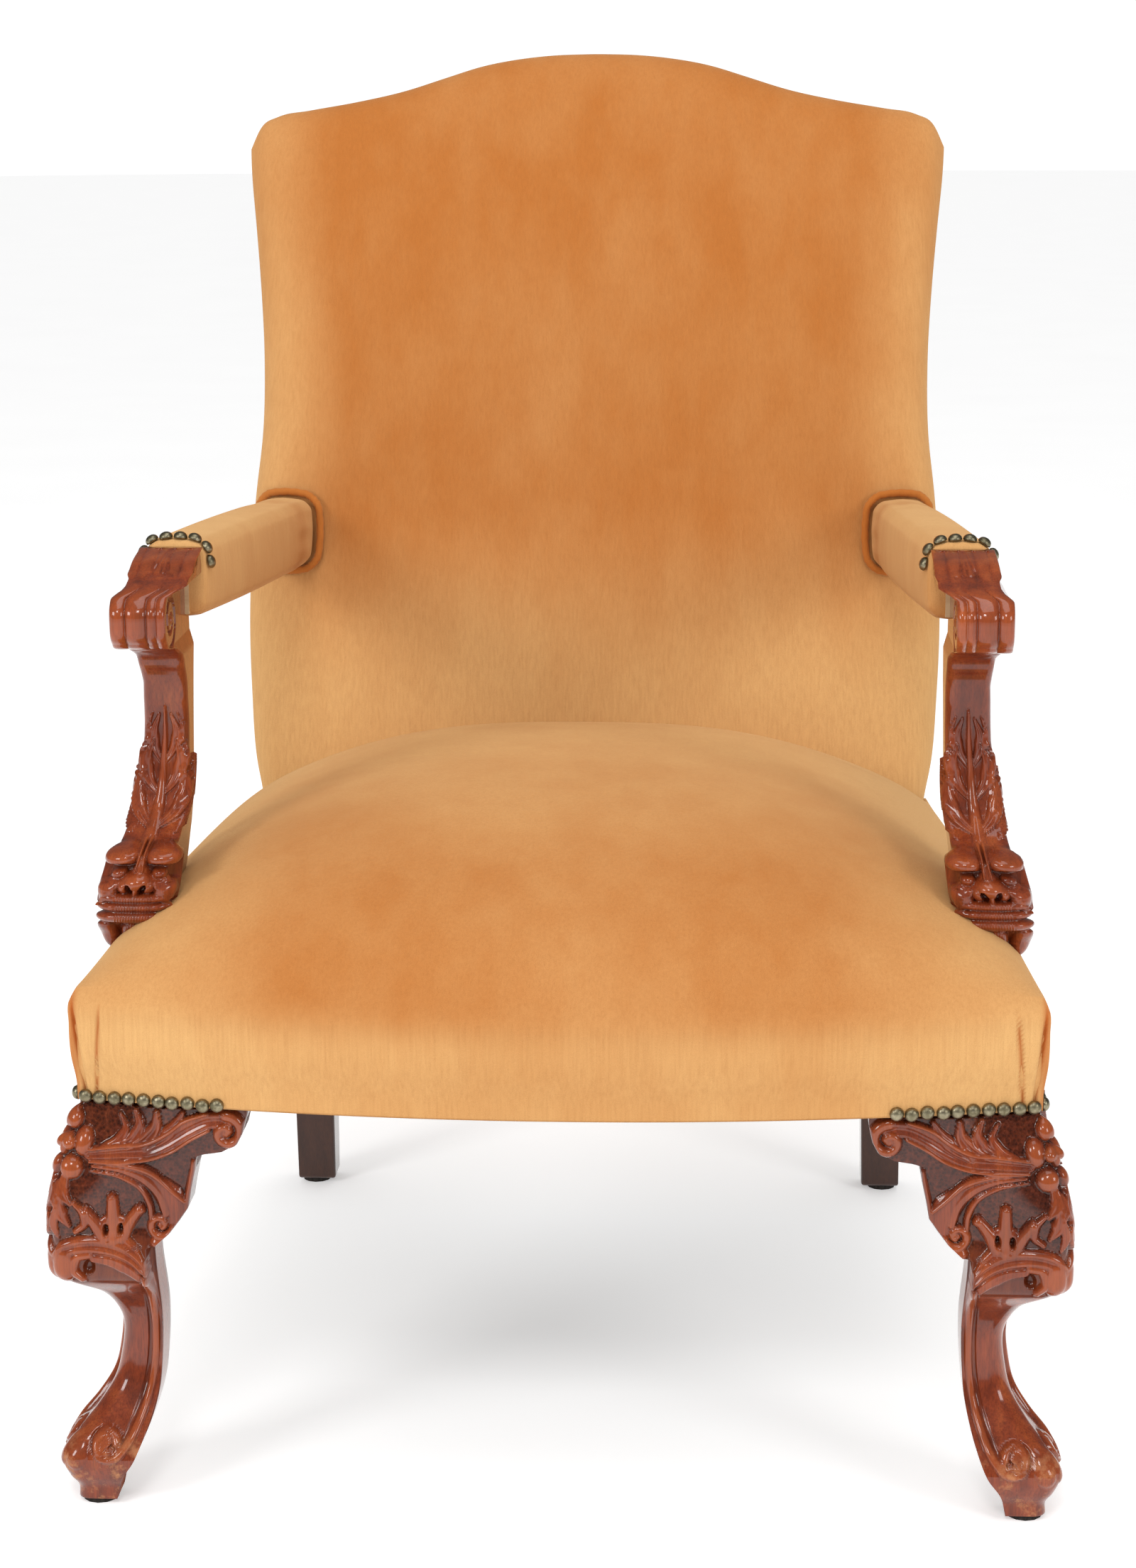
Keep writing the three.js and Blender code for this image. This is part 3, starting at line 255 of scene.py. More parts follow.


# PALE_GOLD also stands for painted sheen and painted light where the mark of nap and sheen comes from the way
# a face turns. FOLD_ORANGE also stands for painted shade along the pleats' creases.
DEEP_ORANGE = (0.425, 0.143, 0.030)
PALE_GOLD = (0.65, 0.370, 0.145)
FOLD_ORANGE = (0.40, 0.10, 0.018)
velvet = velvet_finish("velvet_amber", DEEP_ORANGE, PALE_GOLD, FOLD_ORANGE)
velvet_cord = velvet_finish("velvet_cord", (0.42, 0.125, 0.022), (0.52, 0.20, 0.045), FOLD_ORANGE)
print("velvet made")

# %% [markdown]
# ## Polished mahogany
#
# The wood is stained red brown and polished. Its grain is noise drawn out along the wood. The mark `carve` is
# the height of the carving, 0 on the ground and 1 on top: the colour is made darker in the low places and
# paler on the high ones. The mark `stipple` is 1 where the ground was punched with a frosting tool, which
# is a bump of small cells. The mark `wear` is 1 at the feet, where the polish is scuffed through to bare
# wood.


# %% Mahogany finish
def mahogany_finish(name, dark, warm, lit):
    """Stained grain from dark through warm to lit, darker in carved hollows, under a coat of polish."""
    polish = {"Coat_Roughness": 0.10, "Coat_IOR": 1.46, "Specular_IOR_Level": 0.08}
    material, start, places, feed = new_finish(name, **polish)
    grain = start.noise(places, 70.0, 6.0, 0.62, (1.0, 1.0, 0.09))
    pores = start.noise(places, 900.0, 3.0, 0.6, (1.0, 1.0, 0.06)).limited(0.42, 0.7)
    clouds = start.noise(places, 16.0, 4.0, 0.55)
    stain = {"stops": [(0.3, dark), (0.5, warm), (0.72, lit)]}
    wood = start.node("ValToRGB", stain, {0: grain * 0.7 + clouds * 0.3})
    wood = start.mixed(pores * 0.45, wood, [0.45 * c for c in dark])
    carve = start.mark("carve")
    wood = start.mixed((1.0 - carve.limited(0.0, 0.35)) * 0.62, wood, [0.30 * c for c in warm])
    wood = start.mixed(carve.limited(0.55, 1.0) * 0.45, wood, lit)
    stipple = start.mark("stipple")
    cells = start.node("TexVoronoi", {"feature": "F1"}, {"Vector": places, "Scale": 430.0})
    wood = start.mixed(stipple * (1.0 - cells.limited(0.1, 0.6)) * 0.75, wood, [0.3 * c for c in dark])
    relief = start.bump(cells.limited(0.0, 0.8) * stipple, 0.0024, 1.0)
    relief = start.bump(clouds, 0.002, 0.35, relief)
    relief = start.bump(grain * 0.5 + pores * -0.5, 0.00022, 0.8, relief)
    scuffs = start.noise(places, 55.0, 7.0, 0.72).limited(0.52, 0.66) * start.mark("wear")
    wood = start.mixed(scuffs * 0.75, wood, (0.52, 0.24, 0.11))
    coat = 1.0 - scuffs * 0.8
    roughness = 0.30 + 0.16 * clouds + 0.3 * scuffs + 0.12 * stipple
    feed(Base_Color=wood, Roughness=roughness, Coat_Weight=coat, Normal=relief)
    return material


RED_BROWNS = (0.080, 0.013, 0.005), (0.205, 0.034, 0.009), (0.36, 0.080, 0.018)
DARK_BROWNS = (0.036, 0.010, 0.004), (0.090, 0.026, 0.010), (0.15, 0.045, 0.016)
mahogany = mahogany_finish("mahogany_polished", *RED_BROWNS)
mahogany_dark = mahogany_finish("mahogany_rear", *DARK_BROWNS)
print("mahogany made, red for the carved pieces and dark for the rear posts")


# %% [markdown]
# ## Metal, plain wood and cloth inside the chair
#
# The nails are brass gone brown and green in the hollows and rubbed bright on top. Inside and under the chair
# are pale beech rails, jute webbing and hessian, black cambric, spring steel, and black pads under the feet.


# %% Metal and inner finishes
def metal_finish(name, dull, bright, roughness):
    """Metal whose colour and polish vary in small clouds."""
    material, start, places, feed = new_finish(name, Metallic=1.0)
    tarnish = start.noise(places, 240.0, 5.0, 0.65).limited(0.32, 0.68)
    pits = start.noise(places, 2600.0, 2.0, 0.6)
    feed(
        Base_Color=start.mixed(tarnish, dull, bright),
        Roughness=roughness + 0.22 * (1.0 - tarnish),
        Normal=start.bump(pits, 0.00012, 0.6),
    )
    return material


def woven_finish(name, dark, light, pitch, roughness=0.95):
    """Plain weave: threads along and across, as two waves at right angles. The pitch is in metres."""
    material, start, places, feed = new_finish(name, Specular_IOR_Level=0.15)
    threads = {"Vector": places, "Scale": 0.314 / pitch, "Distortion": 0.6}
    warp = start.node("TexWave", {"wave_type": "BANDS", "bands_direction": "X"}, threads)
    weft = start.node("TexWave", {"wave_type": "BANDS", "bands_direction": "Y"}, threads)
    weave = warp * 0.5 + weft * 0.5
    slubs = start.noise(places, 90.0, 4.0, 0.6)
    feed(
        Base_Color=start.mixed(weave * 0.7 + slubs * 0.3, dark, light),
        Roughness=roughness - 0.1 * slubs,
        Normal=start.bump(weave, pitch * 0.3, 0.8),
    )
    return material


def timber_finish(name, dark, light):
    """Unpolished sawn wood with a fine grain along its length."""
    material, start, places, feed = new_finish(name, Specular_IOR_Level=0.25)
    grain = start.noise(places, 60.0, 6.0, 0.6, (0.12, 1.0, 1.0))
    fleck = start.noise(places, 700.0, 3.0, 0.6, (0.2, 1.0, 1.0))
    feed(
        Base_Color=start.mixed((grain * 0.75 + fleck * 0.25).limited(0.3, 0.7), dark, light),
        Roughness=0.55 + 0.25 * grain,
        Normal=start.bump(grain * 0.5 + fleck * 0.5, 0.0004, 0.6),
    )
    return material


brass = metal_finish("brass_antique", (0.145, 0.125, 0.072), (0.33, 0.29, 0.195), 0.27)
steel = metal_finish("spring_steel", (0.30, 0.30, 0.30), (0.52, 0.52, 0.51), 0.28)
beech = timber_finish("beech_sawn", (0.42, 0.26, 0.13), (0.60, 0.42, 0.24))
jute = woven_finish("jute_woven", (0.20, 0.13, 0.06), (0.44, 0.32, 0.17), 0.0016)
cambric = woven_finish("cambric_black", (0.010, 0.009, 0.009), (0.035, 0.032, 0.031), 0.0007)
wadding = woven_finish("wadding_cotton", (0.55, 0.50, 0.40), (0.78, 0.73, 0.63), 0.004)
felt = woven_finish("black_pad_weave", (0.012, 0.010, 0.009), (0.045, 0.038, 0.034), 0.0011)

SLOT_FINISHES = {
    "mahogany": mahogany,
    "beech": beech,
    "velvet": velvet,
    "padding": wadding,
    "jute": jute,
    "cambric": cambric,
    "brass": brass,
    "steel": steel,
    "felt": felt,
}
NODE_SLOTS = {
    "front_leg": "mahogany", "knee_bracket": "mahogany", "rear_post": "mahogany", "arm_support": "mahogany",
    "seat_rail": "beech", "back_rail": "beech", "corner_block": "beech", "arm_rail": "beech",
    "arm_padding": "padding", "seat_padding": "padding", "back_padding": "padding", "arm_cover": "velvet",
    "arm_welt": "velvet", "seat_cover": "velvet", "back_cover": "velvet", "arm_nails": "brass",
    "leg_nails": "brass", "seat_webbing": "jute", "seat_hessian": "jute", "back_webbing": "jute",
    "seat_spring": "steel", "dust_cover": "cambric", "foot_glide": "felt",
}  # fmt: skip
for node_name, node_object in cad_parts.items():
    slot_name = next(s for start_of_name, s in NODE_SLOTS.items() if node_name.startswith(start_of_name))
    if "screw" in node_name:
        slot_name = "steel"
    finish = mahogany_dark if node_name.startswith("rear_post") else SLOT_FINISHES[slot_name]
    node_object.data.materials.clear()
    node_object.data.materials.append(finish)
print(len(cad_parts), "CAD nodes given a finish")

# %% Floor and world
floor_finish, start, places, feed = new_finish("floor_pale", Specular_IOR_Level=0.1, Emission_Strength=0.33)
floor_finish.node_tree.nodes["Principled BSDF"].inputs["Emission Color"].default_value = (1, 1, 1, 1)
haze = start.noise(places, 3.0, 3.0)
feed(Base_Color=start.mixed(haze, (0.88, 0.88, 0.88), (0.92, 0.92, 0.92)), Roughness=0.75 + 0.1 * haze)
spokes = np.linspace(0, 2 * np.pi, 64, endpoint=False)
rim = np.stack([30 * np.cos(spokes), 30 * np.sin(spokes), np.zeros(64)], 1)
floor_mesh = bpy.data.meshes.new("floor")
floor_mesh.from_pydata(rim.tolist(), [], [list(range(64))])
floor_mesh.materials.append(floor_finish)
floor = bpy.data.objects.new("floor", floor_mesh)
bpy.context.scene.collection.objects.link(floor)
floor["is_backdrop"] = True

world = bpy.data.worlds.new("light_tent")
bpy.context.scene.world = world
world.use_nodes = True
sky = Socket(world.node_tree)
seen = sky.node("LightPath", out="Is Camera Ray")
mirrored_ray = sky.node("LightPath", out="Is Glossy Ray")
background = world.node_tree.nodes["Background"]
background.inputs["Color"].default_value = (1, 1, 1, 1)
world.node_tree.links.new((seen * 0.35 + 0.72 - mirrored_ray * 0.58).socket, background.inputs["Strength"])


# %% [markdown]
# ## Small helpers for surfaces
#
# Every new piece is a grid of points worked out as whole arrays. `skin` closes a stack of rings into a solid:
# the rings run round the piece, and the two end rings are filled from a middle point. `cushion`, which comes
# with the seat, joins an outer and an inner sheet with the same grid at their shared edge, which is what a
# fitted cover round a frame is.


# %% Surface helpers
def read_off(pairs, at):
    """A smooth curve through (position, value) pairs: a cubic between each two, with slopes that meet."""
    x, y = np.array(pairs, float).T
    slope = np.gradient(y, x)
    at = np.clip(at, x[0], x[-1])
    i = np.clip(np.searchsorted(x, at) - 1, 0, len(x) - 2)
    h = x[i + 1] - x[i]
    t = (at - x[i]) / h
    start_part = y[i] * (1 + 2 * t) * (1 - t) ** 2 + slope[i] * h * t * (1 - t) ** 2
    return start_part + y[i + 1] * t * t * (3 - 2 * t) + slope[i + 1] * h * t * t * (t - 1)


def ease(t):
    """0 up to t = 0, 1 from t = 1, and a smooth rise between."""
    t = np.clip(t, 0, 1)
    return t * t * (3 - 2 * t)


def rounded(u, power, root):
    """1 in the middle and 0 at u = 1 or -1, as (1 - |u| ** power) ** root."""
    return (1 - np.clip(np.abs(u), 0, 1) ** power) ** root


def place(points):
    """Bench millimetres to the frame's metres."""
    return (np.asarray(points, float) + [0, BENCH_Y, 0]) / 1000


def mesh_of(name, points, faces, finish, flip=False):
    """An object at the origin from bench points and arrays of faces, smooth, with its faces outwards."""
    mesh = bpy.data.meshes.new(name)
    corners = [np.asarray(f)[:, ::-1] if flip else np.asarray(f) for f in faces]
    flat = np.concatenate([f.ravel() for f in corners])
    counts = np.concatenate([np.full(len(f), f.shape[1]) for f in corners])
    placed = place(points)
    mesh.vertices.add(len(placed))
    mesh.vertices.foreach_set("co", placed.astype(np.float32).ravel())
    mesh.loops.add(len(flat))
    mesh.loops.foreach_set("vertex_index", flat.astype(np.int32))
    mesh.polygons.add(len(counts))
    mesh.polygons.foreach_set("loop_start", np.concatenate([[0], np.cumsum(counts)[:-1]]).astype(np.int32))
    mesh.polygons.foreach_set("use_smooth", np.ones(len(counts), bool))
    mesh.materials.append(finish)
    mesh.update(calc_edges=True)
    mesh.validate()
    made = bpy.data.objects.new(name, mesh)
    bpy.context.scene.collection.objects.link(made)
    return made


def enclosed(points, faces):
    """The volume inside the faces, negative when they point inwards: a sum of slivers to the origin."""
    total = 0.0
    for f in faces:
        for k in range(1, f.shape[1] - 1):
            a, b, c = points[f[:, 0]], points[f[:, k]], points[f[:, k + 1]]
            total += np.einsum("ij,ij->i", a, np.cross(b, c)).sum() / 6
    return total


def numbered(*shape):
    """The numbers of a grid's points, in the grid's own shape."""
    return np.arange(np.prod(shape)).reshape(shape)


def squares(index):
    """The faces of a grid of point numbers, four corners each, in order round the square."""
    corners = [index[:-1, :-1], index[1:, :-1], index[1:, 1:], index[:-1, 1:]]
    return np.stack(corners, -1).reshape(-1, 4)


def skin(name, rings, finish):
    """Closes rings (rows, columns, 3) into a solid: quads between rows, and a fan at each end."""
    rows, columns = rings.shape[:2]
    index = numbered(rows, columns)
    beside = np.roll(index, -1, 1)
    quads = np.stack([index[:-1], beside[:-1], beside[1:], index[1:]], -1).reshape(-1, 4)
    first, last = rows * columns, rows * columns + 1
    start_fan = np.stack([np.full(columns, first), beside[0], index[0]], -1)
    end_fan = np.stack([np.full(columns, last), index[-1], beside[-1]], -1)
    points = np.concatenate([rings.reshape(-1, 3), [rings[0].mean(0)], [rings[-1].mean(0)]])
    faces = [quads, start_fan, end_fan]
    return mesh_of(name, points, faces, finish, enclosed(points, faces) < 0)


def stamp(piece, name, values):
    """Gives the piece's mesh a number at each point. Points past the end of values get the last number."""
    full = np.full(len(piece.data.vertices), values[-1], np.float32)
    full[: len(values)] = values
    mark = piece.data.attributes.get(name) or piece.data.attributes.new(name, "FLOAT", "POINT")
    mark.data.foreach_set("value", full)


def vectors(collection, key):
    """One vector for each item of a mesh's collection, as an array (n, 3)."""
    flat = np.zeros(len(collection) * 3, np.float32)
    collection.foreach_get(key, flat)
    return flat.reshape(-1, 3).astype(float)


def bench_points(piece):
    """The piece's points in bench millimetres."""
    return vectors(piece.data.vertices, "co") * 1000 - [0, BENCH_Y, 0]


def set_points(piece, points):
    """Moves the piece's points to these, in bench millimetres."""
    piece.data.vertices.foreach_set("co", place(points).astype(np.float32).ravel())
    piece.data.update()


def normals_of(piece):
    """The way that the surface faces at each point."""
    return vectors(piece.data.vertex_normals, "vector")


def facing(piece, axis, way):
    """Turns an open sheet's faces so that they point that way, 1 or -1, along the axis."""
    if normals_of(piece)[:, axis].mean() * way < 0:
        piece.data.flip_normals()


def thicken(piece, thickness):
    """Gives an open sheet its wall, in metres, behind the side that faces out."""
    wall = piece.modifiers.new("thick", "SOLIDIFY")
    wall.thickness, wall.offset = thickness, -1


def finer(piece):
    """One subdivision, the same in the view and in the render."""
    modifier = piece.modifiers.new("finer", "SUBSURF")
    modifier.levels = modifier.render_levels = 1


def settle(piece):
    """Takes one subdivision into the mesh itself, so that folds can be worked on the finer points."""
    finer(piece)
    shaped = piece.evaluated_get(bpy.context.evaluated_depsgraph_get())
    finer_mesh = bpy.data.meshes.new_from_object(shaped)
    piece.modifiers.clear()
    piece.data = finer_mesh


def mark_velvet(piece, nap, seam=0.0):
    """The two marks that the velvet reads, at each point of the piece."""
    nap = np.ravel(nap)
    stamp(piece, "nap", nap)
    stamp(piece, "seam", np.zeros(len(nap)) + seam)


def mark_wood(piece, carve, stipple=0.0, wear=0.0):
    """The three marks that the mahogany reads, at each point of the piece."""
    carve = np.ravel(carve)
    stamp(piece, "carve", carve)
    stamp(piece, "stipple", np.zeros(len(carve)) + np.ravel(stipple))
    stamp(piece, "wear", np.zeros(len(carve)) + np.ravel(wear))


def done(piece, slot, *nodes):
    """Books the piece in: it rides on the frame and stands for the CAD nodes. The slot is not used."""
    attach(piece, "root")
    if nodes:
        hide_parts(*nodes)
    size = np.ptp(bench_points(piece), axis=0)
    print(piece.name, len(piece.data.polygons), "faces,", *size.round(), "mm")
    return piece


# %% [markdown]
# ## The seat
#
# A sprung seat is a dome over a box: the stuffing crowns in the middle, rolls over at the edges, and the
# cover is pulled down the sides and tacked under the rails. The grid of the cover is made of squares inside
# each other. The inner squares are the dome, the outer ones go down the sides, so that no point is crowded
# and the cloth can be simulated on it as it is.


# %% The fitted cover's grid
RAIL_TOP, LEG_TOP = 354.0, 291.6
SEAT_DEPTH, RAKE = 548.0, np.radians(11)
COVER_THICK = 3.0


def cover_grid(count, share):
    """(side, along, drop): the place of each grid point on the panel, -1 to 1 both ways, crowded a little
    towards the edges, and how far down the sides it is, 0 to 1."""
    line = np.linspace(-1, 1, count)
    a, b = np.meshgrid(line, line, indexing="ij")
    reach = np.maximum(np.abs(a), np.abs(b))
    scale = np.maximum(reach, share)
    side, along = a / scale, b / scale
    drop = np.clip((reach - share) / (1 - share), 0, 1)
    return side * (3 - side**2) / 2, along * (3 - along**2) / 2, drop


def cushion(name, outer, inner, finish):
    """A closed piece from an outer and an inner sheet of one grid, which share the points of their edge."""
    index = numbered(*outer.shape[:2])
    lining = index + index.size
    for edge in (np.s_[0], np.s_[-1], np.s_[:, 0], np.s_[:, -1]):
        lining[edge] = index[edge]
    points = np.concatenate([outer.reshape(-1, 3), inner.reshape(-1, 3)])
    quads = np.concatenate([squares(index), squares(lining)[:, ::-1]])
    used, packed = np.unique(quads, return_inverse=True)
    faces = [packed.reshape(-1, 4)]
    points = points[used]
    return mesh_of(name, points, faces, finish, enclosed(points, faces) < 0)


def on_slope(points):
    """(v, w) of bench points: behind the front of the rear posts, and up along the slope from the rails."""
    y, z = points[..., 1] - SEAT_DEPTH, points[..., 2] - RAIL_TOP
    return y * np.cos(RAKE) - z * np.sin(RAKE), y * np.sin(RAKE) + z * np.cos(RAKE)


def off_slope(x, v, w):
    """Bench points of places on the slope."""
    y = SEAT_DEPTH + v * np.cos(RAKE) + w * np.sin(RAKE)
    return np.stack([x, y, RAIL_TOP - v * np.sin(RAKE) + w * np.cos(RAKE)], -1)


# %% The outline of the back, which the seat and the arms meet
BACK_LENGTH, BACK_START, BACK_REAR = 550.0, 14.0, 34.0
POST_HALF, CREST_HALF = 254, 289
BACK_SIDES = [
    (-0.13, 22), (0, 22), (0.04, 24), (0.1, 30), (0.2, 34), (0.31, 36), (0.39, 35), (0.5, 31), (0.6, 25),
    (0.71, 24), (0.82, 27), (0.91, 31), (0.99, 35), (1.2, 35),
]  # fmt: skip
CREST = [
    (0, 94), (0.12, 93), (0.22, 90), (0.33, 84), (0.43, 75), (0.55, 64), (0.69, 55), (0.83, 48), (0.92, 43),
    (0.97, 34), (1, 16),
]  # fmt: skip


def back_half(w):
    """Half the back's width at w up the slope: the post's middle plus the curve of the side."""
    return POST_HALF + read_off(BACK_SIDES, w / BACK_LENGTH)


def crest_height(x):
    """How far up the slope the humped top is at x: the post's length plus the curve of the hump."""
    return BACK_LENGTH + read_off(CREST, np.abs(x) / CREST_HALF)


def up_the_back(x, w):
    """0 at the lower edge of the back and 1 at its top, for w up the slope."""
    return np.clip((w - BACK_START) / (crest_height(x) - BACK_START), 0, 1)


def back_face(side, t):
    """How far in front of the posts the padded face stands: full in the middle, rolled over at both sides and
    the top, with a bulge for the sitter's waist."""
    edge = rounded(side, 10, 0.45) * rounded(t, 12, 0.45)
    bulge = 9 * (1 - side**2) * np.sin(np.pi * np.minimum(1, 1.1 * t + 0.05))
    return 8 + 36 * edge + bulge


def clear_of_back(points, gap):
    """Brings points out of the padded back: forward to its face, or down under its lower edge if nearer."""
    v, w = on_slope(points)
    side = points[..., 0] / back_half(w)
    forward = v + back_face(np.clip(side, -1, 1), up_the_back(points[..., 0], w)) + gap
    down = w - (BACK_START - gap)
    inside = (forward > 0) & (down > 0) & (np.abs(side) < 1)
    v = np.where(inside & (forward <= down), v - forward, v)
    w = np.where(inside & (forward > down), w - down, w)
    return off_slope(points[..., 0], v, w)


# %% The seat's form
SEAT_HALF_FRONT, SEAT_HALF_REAR, SEAT_REAR, SEAT_MIDDLE = 326.0, 285.0, 575.0, 235.6
SEAT_EDGE, SEAT_CROWN, SEAT_LOW = 372.0, 113.0, 292.4
SEAT_SWELL = [(0, 0), (0.16, 0), (0.45, 0.9), (0.75, 1), (0.95, 0.6), (1, -0.4)]


def seat_edge(x):
    """The bowed front edge of the seat, seen from above."""
    return -4 - 36 * (1 - (x / SEAT_HALF_FRONT) ** 2)


def seat_form(side, along, drop, inset=0.0):
    """The dome z = edge + crown (1-|side|^2.8)^0.7 (1-|along|^2.8)^0.7, and sides that swell on the way
    down."""
    deep = (along + 1) / 2
    rough = -4 + (SEAT_REAR + 4) * deep
    half = SEAT_HALF_FRONT + (SEAT_HALF_REAR - SEAT_HALF_FRONT) * np.maximum(0, rough) / SEAT_DEPTH
    x = side * (half - inset)
    swell = 7 * read_off(SEAT_SWELL, 1 - drop)
    front = seat_edge(x) + inset
    y = front + (SEAT_REAR - inset - front) * deep - swell * (1 - deep) ** 3
    reach = np.where(y < SEAT_MIDDLE, SEAT_MIDDLE - front, SEAT_REAR - SEAT_MIDDLE)
    crown = rounded(side, 2.8, 0.7) * rounded((y - SEAT_MIDDLE) / reach, 2.8, 0.7)
    top = SEAT_EDGE + SEAT_CROWN * crown
    z = np.where(drop > 0, SEAT_LOW + (SEAT_EDGE - SEAT_LOW) * (1 - drop), top)
    return np.stack([x + 0.35 * swell * side**9, y, z], -1)


# %% [markdown]
# ### Stuffing a cover by simulation
#
# Cloth under pressure finds the tight curved shape that a stuffed cover has. The tacked parts are pinned, the
# rest swells for twenty steps, and no point may end further than a cap from where it began, so the piece
# keeps to the space that the frame leaves it. Gravity is off: the stuffing holds the cloth up.


# %% The stuffing helper
SWELL_STEPS = 20


def stuff(piece, free, cap, pressure=4.0):
    """Runs the cloth and leaves the capped result in the mesh. free is 0..1 at each point: 0 is held by
    tacks, and between the two the swelling is taken in that share, so that it fades out smoothly. The pad
    swells, so it starts smaller, by two thirds of the cap."""
    set_points(piece, bench_points(piece) - normals_of(piece) * (free * cap / 1.5)[:, None])
    start = bench_points(piece)
    held = piece.vertex_groups.new(name="tacked")
    held.add(np.flatnonzero(free < 0.01).tolist(), 1.0, "REPLACE")
    cloth = piece.modifiers.new("stuffed", "CLOTH")
    settings = cloth.settings
    settings.quality = 4
    settings.use_pressure = True
    settings.uniform_pressure_force = pressure
    settings.tension_stiffness = settings.compression_stiffness = 12.0
    settings.shear_stiffness = 4.0
    settings.bending_stiffness = 0.4
    settings.effector_weights.gravity = 0
    settings.vertex_group_mass = held.name
    cloth.collision_settings.use_collision = False
    scene = bpy.context.scene
    for step in range(1, SWELL_STEPS + 1):
        scene.frame_set(step)
    shaped = piece.evaluated_get(bpy.context.evaluated_depsgraph_get())
    moved = bench_points(shaped) - start
    piece.modifiers.remove(cloth)
    piece.vertex_groups.remove(held)
    scene.frame_set(1)
    length = np.linalg.norm(moved, axis=1, keepdims=True)
    kept = moved * free[:, None] * np.minimum(1, cap * np.tanh(length / cap) / np.maximum(length, 1e-9))
    set_points(piece, start + kept)
    print(piece.name, "swelled by up to", round(float(length.max()), 1), "mm, capped at", cap)


def free_part(piece, side, along, drop):
    """1 over the middle of the panel, fading to 0 towards its edge, and 0 on the sides and the lining."""
    reach = np.maximum(np.abs(side), np.abs(along))
    free = np.zeros(len(piece.data.vertices))
    free[: drop.size] = ((1 - ease((reach - 0.62) / 0.36)) * (drop == 0)).ravel()
    return free


# %% The seat cover
LINING_TOP = RAIL_TOP + COVER_THICK
side, along, drop = cover_grid(121, 0.8)
outer = seat_form(side, along, drop)
inner = seat_form(side, along, drop, COVER_THICK)
inner[..., 2] = np.where(drop > 0, SEAT_LOW + (LINING_TOP - SEAT_LOW) * (1 - drop), LINING_TOP)
seat = cushion("seat_cushion", clear_of_back(outer, 1.5), clear_of_back(inner, 4.0), velvet)
stuff(seat, free_part(seat, side, along, drop), 6.0)
settle(seat)
points = clear_of_back(bench_points(seat), 1.2)


# %% [markdown]
# ### Pleats, the way the pile lies, and painted sheen
#
# At each front corner the spare cloth is folded into two upright pleats, a soft third fold and a turned edge.
# They are grooves a few millimetres deep that fade out over the top. The sharp ones carry the fold mark as
# painted shade along their creases, and the turned edge carries it as a deeper orange. The sides and the
# front are made pale gold as painted sheen from the way they face, and the top near the front edge stays deep
# orange.


# %% Pleats, nap with painted sheen, and the way round the arm supports
def groove(distance, width):
    """1 on the line and 0 beyond its width, as a smooth bell."""
    return np.exp(-((distance / width) ** 2))


# Each fold: distance from the corner at its foot, lean, half width and depth, in millimetres.
FOLDS = [(7.5, -0.09, 1.3, 3.2), (15.5, 0.09, 1.3, 2.2), (25.0, 0.12, 2.8, 0.9)]


def pleats(points, normals):
    """(inward depth, fold mark: painted shade along the creases and the turned edge's deeper orange) of the
    folds at the front corners, from the distance to the corner edge.
    """
    x, y, z = points.T
    corner_gap = SEAT_HALF_FRONT + 2 - np.abs(x)
    on_front = ease((-normals[:, 1] - 0.2) / 0.5) * (y < 60)
    fade = ease((372 - z) / 26)
    depth = np.zeros(len(points))
    seam = np.zeros(len(points))
    for gap, lean, width, deep in FOLDS:
        line = corner_gap - gap - lean * (z - 300)
        depth += deep * groove(line, width) * on_front * fade
        seam += 0.9 * groove(line, 0.8 * width) * on_front * fade * (deep > 1)
    turned = groove(corner_gap - 1.5, 3.4) * ease((384 - z) / 20) * ease((4 - y) / 7)
    return depth, np.clip(seam + 0.62 * turned, 0, 1)


normals = normals_of(seat)
depth, seam = pleats(points, normals)
points = points - normals * depth[:, None]
# Where an arm support goes through the seat, the cover dips below the carved part.
foot_x, foot_y = (np.abs(points[:, 0]) - 300) / 12, (points[:, 1] - 100) / 30
under_support = np.maximum(np.abs(foot_x), np.abs(foot_y)) < 1
points[:, 2] = np.where(under_support, np.minimum(points[:, 2], 358), points[:, 2])
set_points(seat, points)
x, y, z = points.T
# The mark of nap and sheen on the seat. Faces that turn to the front and the rounded sides are made paler
# gold as painted sheen. The rear and the right side are paler, the roll of the front edge is deeper orange,
# and the middle of the front face is a little deeper.
front_band = ease((-normals[:, 1] - 0.25) / 0.5) * ease((372 - z) / 34)
edge_roll = groove(y + 5, 62) * ease((z - 350) / 25)
flank = ease((np.abs(x) / 310 - 0.55) / 0.4)
rise = ease((y - 60) / 300)
nap = 0.37 + 0.38 * rise + 0.42 * flank * (1 - 0.5 * front_band) + 0.40 * front_band
nap = nap - 0.16 * edge_roll + 0.14 * rise * ease((x - 40) / 200)
mark_velvet(seat, nap - 0.2 * groove(x - 30, 70) * front_band, seam)
done(seat, "velvet", "seat_cover", "seat_padding")

# %% [markdown]
# ## The back
#
# The back is a padded panel with a serpentine top. Its cover runs over the face, rolls round the posts and is
# pulled to their rear edge. It is the same kind of grid as the seat, stood up on the slope of the posts.


# %% The front of the back
def back_form(side, along, drop, inset=0.0):
    """The panel's outline with its padded face, and sides that run back to the rear edge of the posts."""
    t = (along + 1) / 2
    rough = BACK_START + (BACK_LENGTH + 60 - BACK_START) * t
    x = side * (back_half(rough) - inset)
    top = crest_height(side * CREST_HALF) - inset
    w = BACK_START + inset + (top - BACK_START - inset) * t
    x = side * (back_half(np.minimum(w, BACK_LENGTH * 1.15)) - inset)
    face = back_face(side, t)
    v = -face + (BACK_REAR + face) * drop
    return off_slope(x, v, w)


